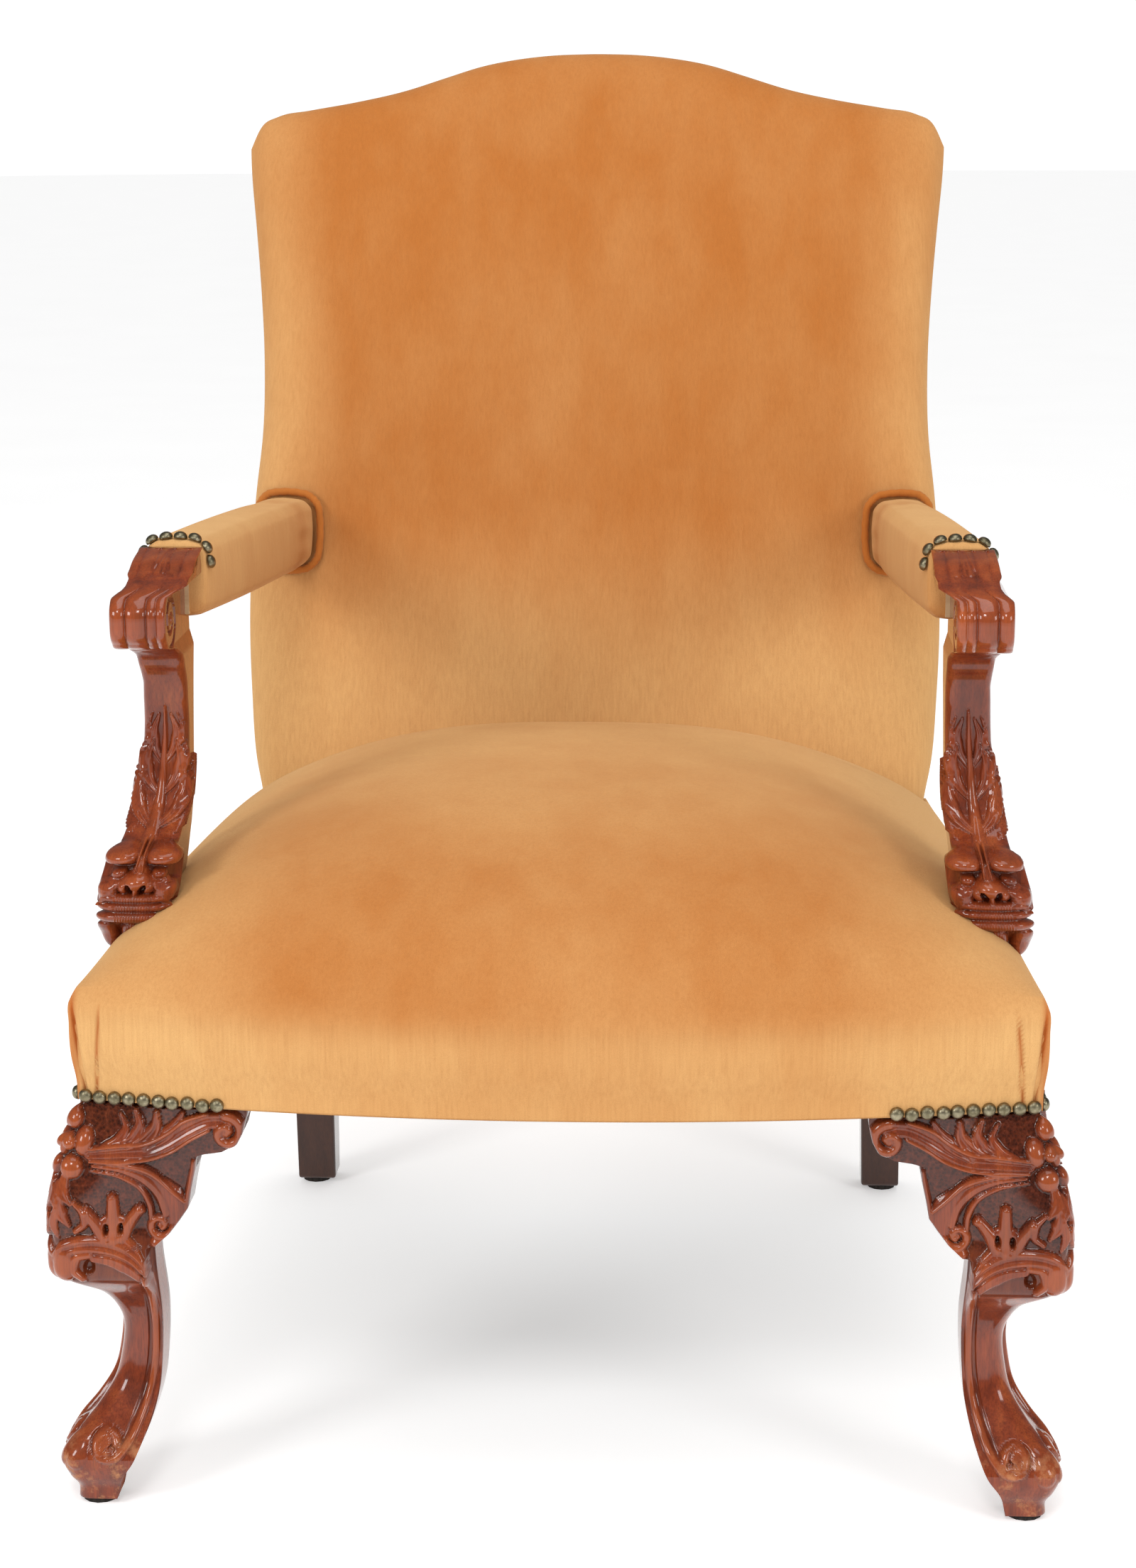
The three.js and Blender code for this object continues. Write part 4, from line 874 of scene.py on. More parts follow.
side, along, drop = cover_grid(121, 0.82)
outer = back_form(side, along, drop)
inner = back_form(side, along, drop, COVER_THICK)
v, w = on_slope(inner)
inner = off_slope(inner[..., 0], np.where(drop > 0, -1 + (BACK_REAR + 1) * drop, -1), w)
back = cushion("back_cushion", outer, inner, velvet)
stuff(back, free_part(back, side, along, drop), 5.0)
points = bench_points(back)
normals = normals_of(back)
v, w = on_slope(points)
x = points[:, 0]
t = up_the_back(x, w)
# The mark of nap and sheen on the back. It is paler gold at the sides, where the cushion rolls round, as
# painted sheen. It is paler low down, partly as painted light where the seat shades the back, and deepest
# orange at the top.
edge = ease((np.abs(x) / back_half(w) - 0.70) / 0.28)
low = ease((0.44 - t) / 0.34)
nap = 0.02 + 0.12 * ease((0.95 - t) / 0.4) + 0.86 * low + edge * (0.46 - 0.52 * low)
nap = nap + 0.16 * ease((np.abs(x + 40) - 120) / 120) * ease((0.9 - t) / 0.5)
mark_velvet(back, nap)
finer(back)
done(back, "velvet", "back_cover_front", "back_padding")

# %% The rear of the back
# A single sheet, bowed out a little by the wadding under it, bent at the top of the seat rails and pulled
# straight down to their lower edge.
BEND, REAR_FACE, TACK_LINE = 20, 35.4, (274, 597.5, SEAT_LOW)
side, along, _ = cover_grid(81, 1.0)
t = (along + 1) / 2
upper_top = crest_height(side * CREST_HALF) - 0.6
w = upper_top - t * ((upper_top - BEND) + 62)
sheet_x = side * (back_half(np.clip(w, -60, 620)) - 0.5)
crown = 4.0 * rounded(side, 4, 1) * np.sin(np.pi * np.clip(t, 0, 1)) ** 0.7
slope_part = off_slope(sheet_x, REAR_FACE + crown, np.maximum(w, BEND))
bend = off_slope(sheet_x, REAR_FACE + crown, np.full_like(w, BEND))
tacked = np.stack([side * TACK_LINE[0], np.full_like(w, TACK_LINE[1]), np.full_like(w, TACK_LINE[2])], -1)
reach = np.clip(np.clip(BEND - w, 0, None) / 82, 0, 1)[..., None]
lower = bend * (1 - reach) + tacked * reach
sheet_points = np.where((w < BEND)[..., None], lower, slope_part)
panel = squares(numbered(*w.shape))
rear = mesh_of("back_panel_rear", sheet_points.reshape(-1, 3), [panel], velvet)
facing(rear, 1, 1)
thicken(rear, 0.0022)
mark_velvet(rear, 0.25 + 0.3 * (1 - t))
done(rear, "velvet", "back_cover_rear")

# %% [markdown]
# ## The arms
#
# Each arm is a rail wrapped in a padded sleeve: a rounded tube, a little fuller in the middle. Its cloth is
# pulled towards the back, where it is gathered under a covered cord.

# %% Arm sleeves and cords
ARM_FRONT, ARM_REAR = np.array([-273.0, 133, 630]), np.array([-254.0, 540, 603])
ARM_ALONG = (ARM_REAR - ARM_FRONT) / np.linalg.norm(ARM_REAR - ARM_FRONT)
ARM_SIDE = np.cross([0, 0, 1], ARM_ALONG)
ARM_SIDE = ARM_SIDE / np.linalg.norm(ARM_SIDE)
ARM_UP = np.cross(ARM_ALONG, ARM_SIDE)
ARM_LENGTH = np.linalg.norm(ARM_REAR - ARM_FRONT)
ARM_HALF_WIDE, ARM_HALF_HIGH, ARM_CORNER = 24, 28, 16


def round_box(angle, half_wide, half_high, corner):
    """A rounded rectangle as straight offsets plus an arc: (across, up) for each angle."""
    c, s = np.cos(angle), np.sin(angle)
    across = (half_wide - corner) * np.clip(2.5 * c, -1, 1) + corner * c
    up = (half_high - corner) * np.clip(2.5 * s, -1, 1) + corner * s
    return across, up


def on_arm(across, up, far):
    """Bench points of places on the arm's own axes."""
    pairs = zip((across, up, far), (ARM_SIDE, ARM_UP, ARM_ALONG))
    return ARM_FRONT + sum(np.asarray(part)[..., None] * axis for part, axis in pairs)


def meets_back(across, up, gap):
    """How far along the arm the back's face is, found by stepping along the arm until the face is reached."""
    far = np.full(np.shape(across), ARM_LENGTH)
    for _ in range(12):
        spot = on_arm(across, up, far)
        v, w = on_slope(spot)
        face = back_face(np.clip(spot[..., 0] / back_half(w), -1, 1), up_the_back(spot[..., 0], w))
        far = far - np.clip(v + face + gap, -12, 12)
    return far


def mirrored(piece, name):
    """The right-hand twin of a left-hand piece: mirrored in the chair's middle, its faces turned back."""
    mesh = piece.data.copy()
    mesh.name = name
    twin = bpy.data.objects.new(name, mesh)
    bpy.context.scene.collection.objects.link(twin)
    set_points(twin, bench_points(piece) * [-1, 1, 1])
    mesh.flip_normals()
    if piece.modifiers:
        finer(twin)
    return twin


SLEEVE_ROWS, SLEEVE_COLUMNS = 64, 72
angle = np.linspace(0, 2 * np.pi, SLEEVE_COLUMNS, endpoint=False)
along = np.linspace(0, 1, SLEEVE_ROWS)[:, None]
full = ARM_HALF_WIDE + 1.2 * np.sin(np.pi * along) * np.ones_like(angle)
tall = ARM_HALF_HIGH + 1.5 * np.sin(np.pi * along) * np.ones_like(angle)
across, up = round_box(angle[None, :], full, tall, ARM_CORNER)
end = meets_back(across, up, 0.8)
sleeve = on_arm(across, up, 0.4 + (end - 0.4) * along)
arm = skin("arm_sleeve_left", sleeve, velvet)
# The worked-out curve is kept along the sleeve. Only the end rings are let go, which draws them in a little.
end_rings = np.ones(len(arm.data.vertices))
row = np.repeat(np.arange(SLEEVE_ROWS), SLEEVE_COLUMNS)
end_rings[: len(row)] = (row < 2) | (row > SLEEVE_ROWS - 3)
stuff(arm, end_rings, 2.5, 3.0)
points, normals = bench_points(arm), normals_of(arm)
far = (points - ARM_FRONT) @ ARM_ALONG
rear_gap = ARM_LENGTH - far
turn = np.arctan2((points - ARM_FRONT) @ ARM_UP, (points - ARM_FRONT) @ ARM_SIDE)
pull = 0.9 * np.sin(9 * turn + 0.02 * rear_gap) * groove(rear_gap - 46, 30)
points = points + normals * pull[:, None]
set_points(arm, points)
# The mark of nap and sheen: paler on the faces that turn upwards, as painted light from above, and darker
# just in front of the cord, where the cloth is gathered.
mark_velvet(arm, 0.62 + 0.25 * normals[:, 2] - 0.35 * groove(rear_gap - 50, 20))
finer(arm)

turns = np.linspace(0, 2 * np.pi, 96, endpoint=False)[None, :]
round_it = np.linspace(0, 2 * np.pi, 12, endpoint=False)[:, None]
CORD = 3.2
wider = CORD + 1.2
across, up = round_box(turns, ARM_HALF_WIDE + wider, ARM_HALF_HIGH + wider, ARM_CORNER + wider)
far = meets_back(across, up, CORD + 0.6)
thick = CORD + 0.25 * np.sin(round_it * 2 + turns * 30)
outwards = thick * np.cos(round_it)
across, up = across + outwards * np.cos(turns), up + outwards * np.sin(turns)
cord = np.swapaxes(on_arm(across, up, far + thick * np.sin(round_it)), 0, 1)
index = numbered(*cord.shape[:2])
after, beside = np.roll(index, -1, 0), np.roll(index, -1, 1)
quads = np.stack([index, beside, np.roll(after, -1, 1), after], -1).reshape(-1, 4)
flat_cord = cord.reshape(-1, 3)
welt = mesh_of("arm_cord_left", flat_cord, [quads], velvet_cord, enclosed(flat_cord, [quads]) < 0)
mark_velvet(welt, np.full(len(flat_cord), 0.3))
for hand, sleeve_piece, cord_piece in (
    ("left", arm, welt),
    ("right", mirrored(arm, "arm_sleeve_right"), mirrored(welt, "arm_cord_right")),
):
    done(sleeve_piece, "velvet", f"arm_cover_{hand}", f"arm_padding_{hand}")
    done(cord_piece, "velvet", f"arm_welt_{hand}")


# %% [markdown]
# ## Carving
#
# Carving is relief: heights raised over a lowered ground. Each band, leaf and bud is a line or a spot on the
# face of the wood, given as (outwards, up) in millimetres from the middle of the foot. The height of a band
# at a point depends on the distance to its line; bands are laid over each other by taking the higher one.


# %% Carving tools
def curve_through(points, steps=10):
    """A smooth line through the points: cubic pieces against the distance along them."""
    points = np.array(points, float)
    far = np.concatenate([[0], np.cumsum(np.linalg.norm(np.diff(points, axis=0), axis=1))])
    at = np.linspace(0, far[-1], steps * (len(points) - 1) + 1)
    return np.stack([read_off(list(zip(far, points[:, k])), at) for k in range(points.shape[1])], 1)


def scroll_line(centre, start_radius, end_radius, start_turn, turns, steps=40):
    """A spiral: the radius shrinks evenly while the angle goes round, anticlockwise for positive turns."""
    t = np.linspace(0, 1, steps)
    radius = start_radius + (end_radius - start_radius) * t
    angle = 2 * np.pi * (start_turn + turns * t)
    return np.stack([centre[0] + radius * np.cos(angle), centre[1] + radius * np.sin(angle)], 1)


def from_line(spots, line):
    """(distance, share of the way along, side) of each spot (n, 2) from a line of points."""
    a, b = line[:-1], line[1:]
    ab = b - a
    squared = np.maximum((ab**2).sum(1), 1e-12)
    best = np.full(len(spots), 1e9)
    along, side = np.zeros(len(spots)), np.zeros(len(spots))
    lengths = np.sqrt(squared)
    before = np.concatenate([[0], np.cumsum(lengths)[:-1]])
    for k in range(len(a)):
        off = spots - a[k]
        t = np.clip(off @ ab[k] / squared[k], 0, 1)
        rest = off - t[:, None] * ab[k]
        gap = np.hypot(rest[:, 0], rest[:, 1])
        nearer = gap < best
        best = np.where(nearer, gap, best)
        along = np.where(nearer, (before[k] + t * lengths[k]) / lengths.sum(), along)
        turned = ab[k, 0] * off[:, 1] - ab[k, 1] * off[:, 0]
        side = np.where(nearer, np.sign(turned), side)
    return best, along, side


def band(spots, line, widths, tall, hollow=0.0, grooves=0):
    """A raised band along a line. widths are half widths at its start, middle and end. Its section is half
    round; hollow scoops its middle out, and grooves cuts that many fine veins along it."""
    line = np.asarray(line, float)
    width_max = max(widths) + 1
    low, high = line.min(0) - width_max, line.max(0) + width_max
    near = np.flatnonzero(((spots > low) & (spots < high)).all(1))
    raised = np.zeros(len(spots))
    if not len(near):
        return raised
    gap, along, side = from_line(spots[near], line)
    width = np.interp(along, (0, 0.5, 1), widths)
    q = np.clip(gap / np.maximum(width, 1e-6), 0, 1)
    dome = np.sqrt(1 - q**2)
    dome = dome * (1 - hollow * groove(q, 0.45))
    if grooves:
        dome = dome - 0.16 * (0.5 + 0.5 * np.cos(2 * np.pi * q * side * grooves)) * (1 - q**2)
    raised[near] = tall * dome * (q < 1)
    return raised


def bud(spots, centre, across, up, turned, tall, power=2.0):
    """A rounded boss: an oval of those half sizes, turned by degrees, as tall (1 - r ** power) ** 0.5."""
    angle = np.radians(turned)
    off = spots - np.array(centre, float)
    u = (off[:, 0] * np.cos(angle) + off[:, 1] * np.sin(angle)) / across
    v = (off[:, 1] * np.cos(angle) - off[:, 0] * np.sin(angle)) / up
    return tall * np.sqrt(np.clip(1 - (u * u + v * v) ** (power / 2), 0, 1))


# %% [markdown]
# ### The knee's pattern
#
# A rosette sits on the corner of the knee. From it an acanthus spray runs up along the rail to the ear's
# scroll, a second branch comes down to a C scroll, and a tulip with two drilled holes stands between. Husks
# hang down the corner. Under the knee a wave rolls round the corner. All of it lies on a punched ground. The
# same pattern serves the front and the side, since both faces meet in the corner.


# %% Knee carving
def knee_carving(spots):
    """(height in mm, stippled ground 0..1) of the knee at spots (outwards, up)."""
    laid = []

    def strap(points, widths, tall, hollow=0.0, veins=0):
        laid.append(band(spots, curve_through(points), widths, tall, hollow, veins))

    def boss(*shape):
        laid.append(bud(spots, *shape))

    # The strap that runs along the rail to the ear's scroll, with a rib on each edge.
    to_ear = [(-4, 258), (-27, 260), (-45, 262), (-60, 269), (-73, 277), (-86, 283), (-99, 284)]
    strap(to_ear, (3.2, 7.2, 6.0), 5.0, 0.6)
    strap([(-5, 262), (-27, 265), (-44, 267), (-58, 274), (-70, 283), (-86, 289)], (1.2, 1.9, 1.6), 6.0)
    strap([(-5, 254), (-30, 254), (-46, 256), (-62, 262), (-74, 270), (-87, 277)], (1.2, 1.9, 1.6), 5.8)
    laid.append(band(spots, scroll_line((-99, 275.5), 12.0, 2.4, 0.25, 1.15), (4.8, 3.8, 3.2), 5.6))
    boss((-99, 275), 3.6, 3.6, 0, 5.0)
    # The leaves that stand up from it.
    strap([(-44, 263), (-57, 272), (-65, 281), (-70, 289)], (2.4, 5.4, 1.4), 5.0, 0.35, 1)
    strap([(-31, 264), (-44, 270), (-51, 279), (-52, 289)], (2.4, 6.0, 1.8), 5.8, 0.35, 1)
    strap([(-23, 264), (-35, 270), (-40, 279), (-37, 289)], (2.2, 5.0, 1.6), 5.0, 0.35, 1)
    strap([(-13, 263), (-25, 269), (-30, 277), (-26, 286)], (1.8, 3.6, 1.0), 4.2, 0.25)
    # The lower branch: a smooth leaf with three ribs, the ear's rim, and a C scroll.
    strap([(-38, 244), (-54, 234), (-64, 219), (-65, 205)], (3.5, 10.0, 8.0), 3.6)
    strap([(-8, 254), (-30, 251.5), (-48, 245), (-61, 233), (-69, 226)], (1.4, 3.0, 2.0), 5.4)
    strap([(-7, 251), (-29, 247.5), (-42, 241), (-52, 230), (-56, 217)], (1.4, 3.4, 3.2), 5.2, 0.2)
    strap([(-6, 248), (-27, 243), (-39, 235), (-45, 223), (-46, 213)], (1.2, 2.6, 2.2), 4.6)
    strap([(-76, 254), (-73, 234), (-70, 212), (-62, 200), (-49, 197)], (1.8, 4.2, 4.6), 5.0)
    laid.append(band(spots, scroll_line((-52, 209), 9.0, 2.2, 0.55, 1.1), (3.8, 3.2, 2.6), 5.4))
    boss((-52, 209), 3.0, 3.0, 0, 4.8)
    # The tulip, with two drilled holes, and the leaf below it.
    boss((-20, 208), 11.0, 10.0, 0, 4.2, 3)
    strap([(-25, 201), (-31, 211), (-38, 220)], (5.6, 4.6, 3.8), 5.0)
    strap([(-14, 201), (-8, 211), (-2, 220)], (5.6, 4.6, 3.8), 5.0)
    boss((-38, 219), 4.4, 3.6, 0, 5.6)
    boss((-2, 219), 4.4, 3.6, 0, 5.6)
    strap([(-20, 199), (-20, 228)], (5.4, 5.0, 4.0), 5.4)
    strap([(-24, 199), (-31, 193), (-40, 184)], (6.0, 4.6, 1.0), 4.4, 0.3)
    # The rosette's petals, round the corner.
    boss((-1, 267), 6.8, 10.2, 14, 6.6)
    boss((7, 283), 7.6, 8.4, -10, 6.8)
    boss((15, 267), 6.2, 9.4, 0, 7.0)
    boss((8, 250), 8.8, 8.2, 20, 6.8)
    boss((9, 267), 5.0, 6.0, 0, 8.2)
    # The husks that hang down the corner, each a pair of small leaves.
    strap([(12, 244), (14, 234), (8, 225)], (3.4, 5.8, 1.2), 5.6, 0.3)
    strap([(17, 240), (21, 230), (17, 220)], (2.4, 4.6, 1.0), 5.2, 0.3)
    strap([(16, 230), (15, 219), (9, 210)], (3.0, 5.4, 1.2), 5.4, 0.3)
    strap([(19, 222), (21, 212), (17, 202)], (2.6, 4.8, 1.2), 5.0, 0.3)
    strap([(6, 226), (0, 219), (-1, 211), (5, 206)], (1.8, 3.4, 2.2), 4.4)
    # The wave that rolls round the corner under the knee.
    strap([(-43, 175), (-33, 186), (-20, 193), (-4, 196), (12, 193), (20, 186)], (3.2, 7.0, 6.6), 6.0, 0.3, 1)
    strap([(-41, 167), (-30, 178), (-18, 184), (-6, 186)], (2.6, 5.0, 3.2), 4.4, 0.2)
    boss((15, 181), 10.0, 14.0, 0, 6.2, 2.6)
    strap([(-3, 189), (5, 187), (8, 178), (2, 171)], (3.6, 4.2, 3.0), 5.6)
    height = np.maximum.reduce(laid)
    for hole in ((-25, 206.5), (-15.2, 206.5)):
        height = height - 5.5 * bud(spots, hole, 1.9, 4.4, 0, 1.0)
    height = height - 5.0 * bud(spots, (-2.5, 179), 4.2, 5.4, 10, 1.0)
    outward, up = spots.T
    inside = ease((up - 196) / 8) * ease((outward + 108) / 12)
    ground = inside * (1 - ease(height / 1.2)) * (up < 292)
    return height, ground


def foot_carving(spots):
    """(height, ground) of the shaft and the scroll foot: a bead down the inner edge that ends in a volute."""
    bead = curve_through([
        (-44, 178), (-40.5, 160), (-40, 140), (-40, 118), (-39, 96), (-36, 78), (-30, 60), (-23, 47),
        (-13, 38), (-4, 40), (-2, 48), (-8, 54), (-15, 51), (-16, 45), (-12, 43),
    ])  # fmt: skip
    ridge = band(spots, bead, (3.2, 2.6, 3.8), 3.4)
    disc = bud(spots, (-9, 46.5), 10.5, 10.5, 0, 3.2, 4)
    cut = band(spots, bead + [3.8, 1.6], (1.3, 1.9, 0.8), 1.6)
    eye = bud(spots, (-12.5, 44.5), 2.8, 2.4, 0, 3.4)
    cheek = bud(spots, (14, 44), 10, 15, -10, 2.2, 2)
    return np.maximum(np.maximum(ridge, disc * 0.8), cheek) - eye - cut * 0.8, np.zeros(len(spots))


# %% [markdown]
# ### The front legs
#
# A front leg is a square cabriole leg: one outline sawn from the front and again from the side, with the
# bracket ears glued on, and then carved. Its section at each height is drawn as one closed line: along the
# front face from the ear's tip to the corner, round the corner, back along the side face, and home behind.

# %% Front legs
LEG_OUTER = [
    (4, 14), (12, 14), (22, 19), (35, 22.5), (50, 15), (65, 2), (80, -8), (100, -13.5), (132, -13),
    (150, -3), (168, 18), (190, 23.5), (220, 24), (252, 17), (291.6, 5),
]  # fmt: skip
LEG_INNER = [
    (4, -14), (20, -18), (36, -28), (50, -34), (74, -41), (100, -44), (130, -45), (170, -42), (291.6, -42),
]  # fmt: skip
EAR = [
    (0, 69), (4, 70), (8, 70), (17, 68), (25, 64), (31, 53), (32.5, 42), (34, 36), (44, 35), (59, 32),
    (71, 30), (80, 24), (89, 17), (97, 8), (100, 0),
]  # fmt: skip
CORNER_RADIUS = [
    (4, 9), (22, 9), (60, 12), (110, 13), (150, 11), (190, 8), (240, 7), (291.6, 6), (354, 4),
]  # fmt: skip
EAR_THICK, EAR_DROP, STUMP_SET_BACK = 13.0, 100, 5
KNEE_START, GROUND_DEPTH = 165, 2.2
FACE_COLUMNS, ARC_COLUMNS, BEHIND_COLUMNS = 122, 13, 8

heights = np.concatenate([
    np.linspace(4, 64, 52, endpoint=False), np.linspace(64, 164, 44, endpoint=False),
    np.linspace(164, LEG_TOP, 142), [291.7, 320, 353.6],
])  # fmt: skip
outer_out = read_off(LEG_OUTER, heights)
inner_out = read_off(LEG_INNER, heights)
depth_below = LEG_TOP - heights
ear_reach = np.where(depth_below < EAR_DROP, np.interp(depth_below, *np.array(EAR).T), 0)
stump = heights > LEG_TOP
outer_out = np.where(stump, -STUMP_SET_BACK, outer_out)
ear_reach = np.where(stump, 0, ear_reach)
tip = -inner_out + ear_reach
corner_radius = read_off(CORNER_RADIUS, heights)


# %% The rings of a front leg
def face_stand(outward, flat_ear):
    """How far the uncarved face stands out: the leg's own outline at the corner, and beyond it, in the ear,
    a flatter face that stands out as far as flat_ear."""
    leg = outer_out[:, None]
    away = ease((leg - outward - 14) / 52)
    return leg + (flat_ear - leg) * away * ease((heights[:, None] - 176) / 34)


def leg_rings():
    """All rings of the left leg in bench points, and the carved height and ground at each."""
    z = heights[:, None]
    reach = (outer_out - corner_radius)[:, None]
    outward = -tip[:, None] + (reach + tip[:, None]) * np.linspace(0, 1, FACE_COLUMNS)[None, :]
    half_arc = np.linspace(0, 1, ARC_COLUMNS)[None, 1:-1]
    angles = np.radians(90 * half_arc)
    unrolled = outer_out[:, None] - corner_radius[:, None] * np.abs(1 - 2 * half_arc)
    face_z, arc_z = np.broadcast_to(z, outward.shape), np.broadcast_to(z, unrolled.shape)
    front_spots, arc_spots = np.stack([outward, face_z], -1), np.stack([unrolled, arc_z], -1)
    carved = []
    for spots in (front_spots, arc_spots):
        flat = spots.reshape(-1, 2)
        knee_height, ground = knee_carving(flat)
        foot_height, _ = foot_carving(flat)
        upper = ease((flat[:, 1] - 160) / 8)
        relief = knee_height * upper + foot_height * (1 - ease((flat[:, 1] - 168) / 10))
        in_stump = flat[:, 1] > LEG_TOP
        relief, ground = np.where(in_stump, 0, relief), np.where(in_stump, 0, ground)
        carved.append((relief.reshape(spots.shape[:2]), ground.reshape(spots.shape[:2])))
    (face_relief, face_ground), (arc_relief, arc_ground) = carved
    edge_fade = ease((outward + tip[:, None]) / 1.2)
    face_relief = face_relief * (0.35 + 0.65 * edge_fade)
    sunk = GROUND_DEPTH * (z > KNEE_START) * (z < LEG_TOP + 0.05) * ease((z - KNEE_START) / 20)
    front_stand = face_stand(outward, 16.0) + face_relief - sunk
    side_stand = face_stand(outward, 9.0) + face_relief - sunk
    front = np.stack([-(FOOT_X + outward), -front_stand, face_z], -1)
    swing = corner_radius[:, None] + arc_relief - sunk
    arc_x, arc_y = reach + swing * np.sin(angles), reach + swing * np.cos(angles)
    arc = np.stack([-(FOOT_X + arc_x), -arc_y, arc_z], -1)
    side = np.stack([-(FOOT_X + side_stand), -outward, face_z], -1)[:, ::-1]
    near, far = -inner_out[:, None], tip[:, None]
    thick = np.minimum(EAR_THICK, near)
    # Behind: from the side ear's tip in to the leg's block, round its inner corner, and out to the front ear.
    t = np.linspace(0, 1, BEHIND_COLUMNS)[None, :]
    u = t[:, 1:]
    level = z + 0 * u
    behind_side = np.stack([-(FOOT_X - thick) + 0 * t, far + (near - far) * t, z + 0 * t], -1)
    block_side = np.stack([-(FOOT_X - thick - (near - thick) * u), near + 0 * u, level], -1)
    block_front = np.stack([-(FOOT_X - near) + 0 * u, near - (near - thick) * u, level], -1)
    behind_front = np.stack([-(FOOT_X - near - (far - near) * u), thick + 0 * u, level], -1)
    ring = np.concatenate([front, arc, side, behind_side, block_side, block_front, behind_front], 1)
    plain = np.full((len(heights), ring.shape[1] - 2 * FACE_COLUMNS - ARC_COLUMNS + 2), 2.0)
    relief = np.concatenate([face_relief, arc_relief, face_relief[:, ::-1], plain], 1)
    ground = np.concatenate([face_ground, arc_ground, face_ground[:, ::-1], plain * 0], 1)
    return ring, relief, ground


# %% The front legs' pieces
ring, relief, ground = leg_rings()
leg = skin("front_leg_carved_left", ring, mahogany)
tall = ring[..., 2]
carve_mark = np.where(tall > KNEE_START, relief / 5.8, 0.42 + relief / 6.0)
mark_wood(leg, carve_mark, ground, ease((66 - tall) / 40))
twin = mirrored(leg, "front_leg_carved_right")
for hand, piece in (("left", leg), ("right", twin)):
    done(piece, "mahogany", f"front_leg_{hand}", f"knee_bracket_front_{hand}", f"knee_bracket_side_{hand}")

# %% [markdown]
# ## The arm supports
#
# Each support is one piece of wood, sawn to a side outline and a front outline: a tenon in the seat rail, a
# grotesque beast's mask above the seat, a slender shaft with acanthus on its lower part, and a rolled scroll
# with a fluted collar under the padded arm. The relief is laid round the section: s is the distance along the
# surface from the middle of the front, outwards positive, so a leaf can wrap round the edge.

# %% Arm supports: outlines
SUPPORT_FRONT = [
    (293, 64), (356, 64), (376, 63), (390, 66), (398, 61), (412, 56), (432, 57), (444, 60), (451, 65),
    (457, 80), (467, 97), (485, 108), (512, 113), (545, 112), (572, 104), (585, 94), (589, 84), (592, 66),
    (597, 57), (611, 51), (625, 56), (634, 71), (641, 91), (648, 107), (652, 128),
]  # fmt: skip
SUPPORT_REAR = [
    (293, 136), (362, 136), (400, 142), (450, 145), (500, 146), (560, 147), (597, 150), (630, 141),
    (652, 132.6),
]  # fmt: skip
SUPPORT_OUTER = [
    (293, 310), (360, 310), (375, 311), (397, 320), (425, 316), (455, 307), (482, 301), (520, 296),
    (560, 294), (582, 296), (592, 302), (627, 302), (634, 296), (652, 293),
]  # fmt: skip
SUPPORT_INNER = [
    (293, 290), (360, 288), (375, 283), (395, 278), (425, 271), (455, 267), (480, 265), (560, 263),
    (582, 263), (592, 266), (628, 266), (634, 254), (652, 254),
]  # fmt: skip
SET_BACK = [
    (293, 0), (360, 0), (372, 5), (390, 8), (440, 8), (455, 7), (468, 3.5), (530, 3), (548, 0), (586, 0),
    (594, 3), (628, 3), (636, 2), (652, 1.5),
]  # fmt: skip
EDGE_RADIUS = [(293, 2), (360, 4), (375, 9), (450, 9), (470, 6), (560, 6), (590, 3), (652, 2.5)]
MASK_TOP, NOT_CARVED = 457, 900


def straight(pairs, at):
    """Straight lines through (position, value) pairs."""
    return np.interp(at, *np.array(pairs, float).T)


def box_rings(x0, x1, y0, y1, radius, counts):
    """Rings round a rounded box: (points x y, outward normals, unrolled distance from the front's middle).
    They run along the front from x0 to x1, down the side at x1, along the rear, and up the side at x0."""
    r = radius
    flat, arc, flank, rear = counts
    half, wide, deep = (x1 - x0) / 2, x1 - x0 - 2 * r, y1 - y0 - 2 * r
    xs, ys, nxs, nys, far = [], [], [], [], []

    def lay(x, y, nx, ny, s):
        shape = np.broadcast_shapes(np.shape(x), np.shape(y), np.shape(s))
        for store, value in zip((xs, ys, nxs, nys, far), (x, y, nx, ny, s)):
            store.append(np.broadcast_to(value, shape))

    def bend(x, y, nx, ny, s):
        """A rounded corner about (x, y)."""
        lay(x + r * nx, y + r * ny, nx, ny, s)

    turn = np.linspace(0, np.pi / 2, arc)[None, 1:]
    sine, cosine = np.sin(turn), np.cos(turn)
    along_flank = np.linspace(0, 1, flank)[None, 1:]
    to_flank = half - r + r * np.pi / 2
    front = x0 + r + wide * np.linspace(0, 1, flat)[None, :]
    lay(front, y0, 0, -1, front - (x0 + x1) / 2)
    bend(x1 - r, y0 + r, sine, -cosine, half - r + r * turn)
    lay(x1, y0 + r + deep * along_flank, 1, 0, to_flank + deep * along_flank)
    bend(x1 - r, y1 - r, cosine, sine, NOT_CARVED + 0 * turn)
    along_rear = np.linspace(0, 1, rear)[None, 1:]
    lay(x1 - r - wide * along_rear, y1, 0, 1, NOT_CARVED + 0 * along_rear)
    bend(x0 + r, y1 - r, -sine, cosine, -NOT_CARVED + 0 * turn)
    lay(x0, y1 - r - deep * along_flank, -1, 0, -to_flank - deep * (1 - along_flank))
    rest = half - r + r * (np.pi / 2 - turn)
    bend(x0 + r, y0 + r, -cosine[:, :-1], -sine[:, :-1], -rest[:, :-1])
    return [np.concatenate(parts, 1) for parts in (xs, ys, nxs, nys, far)]


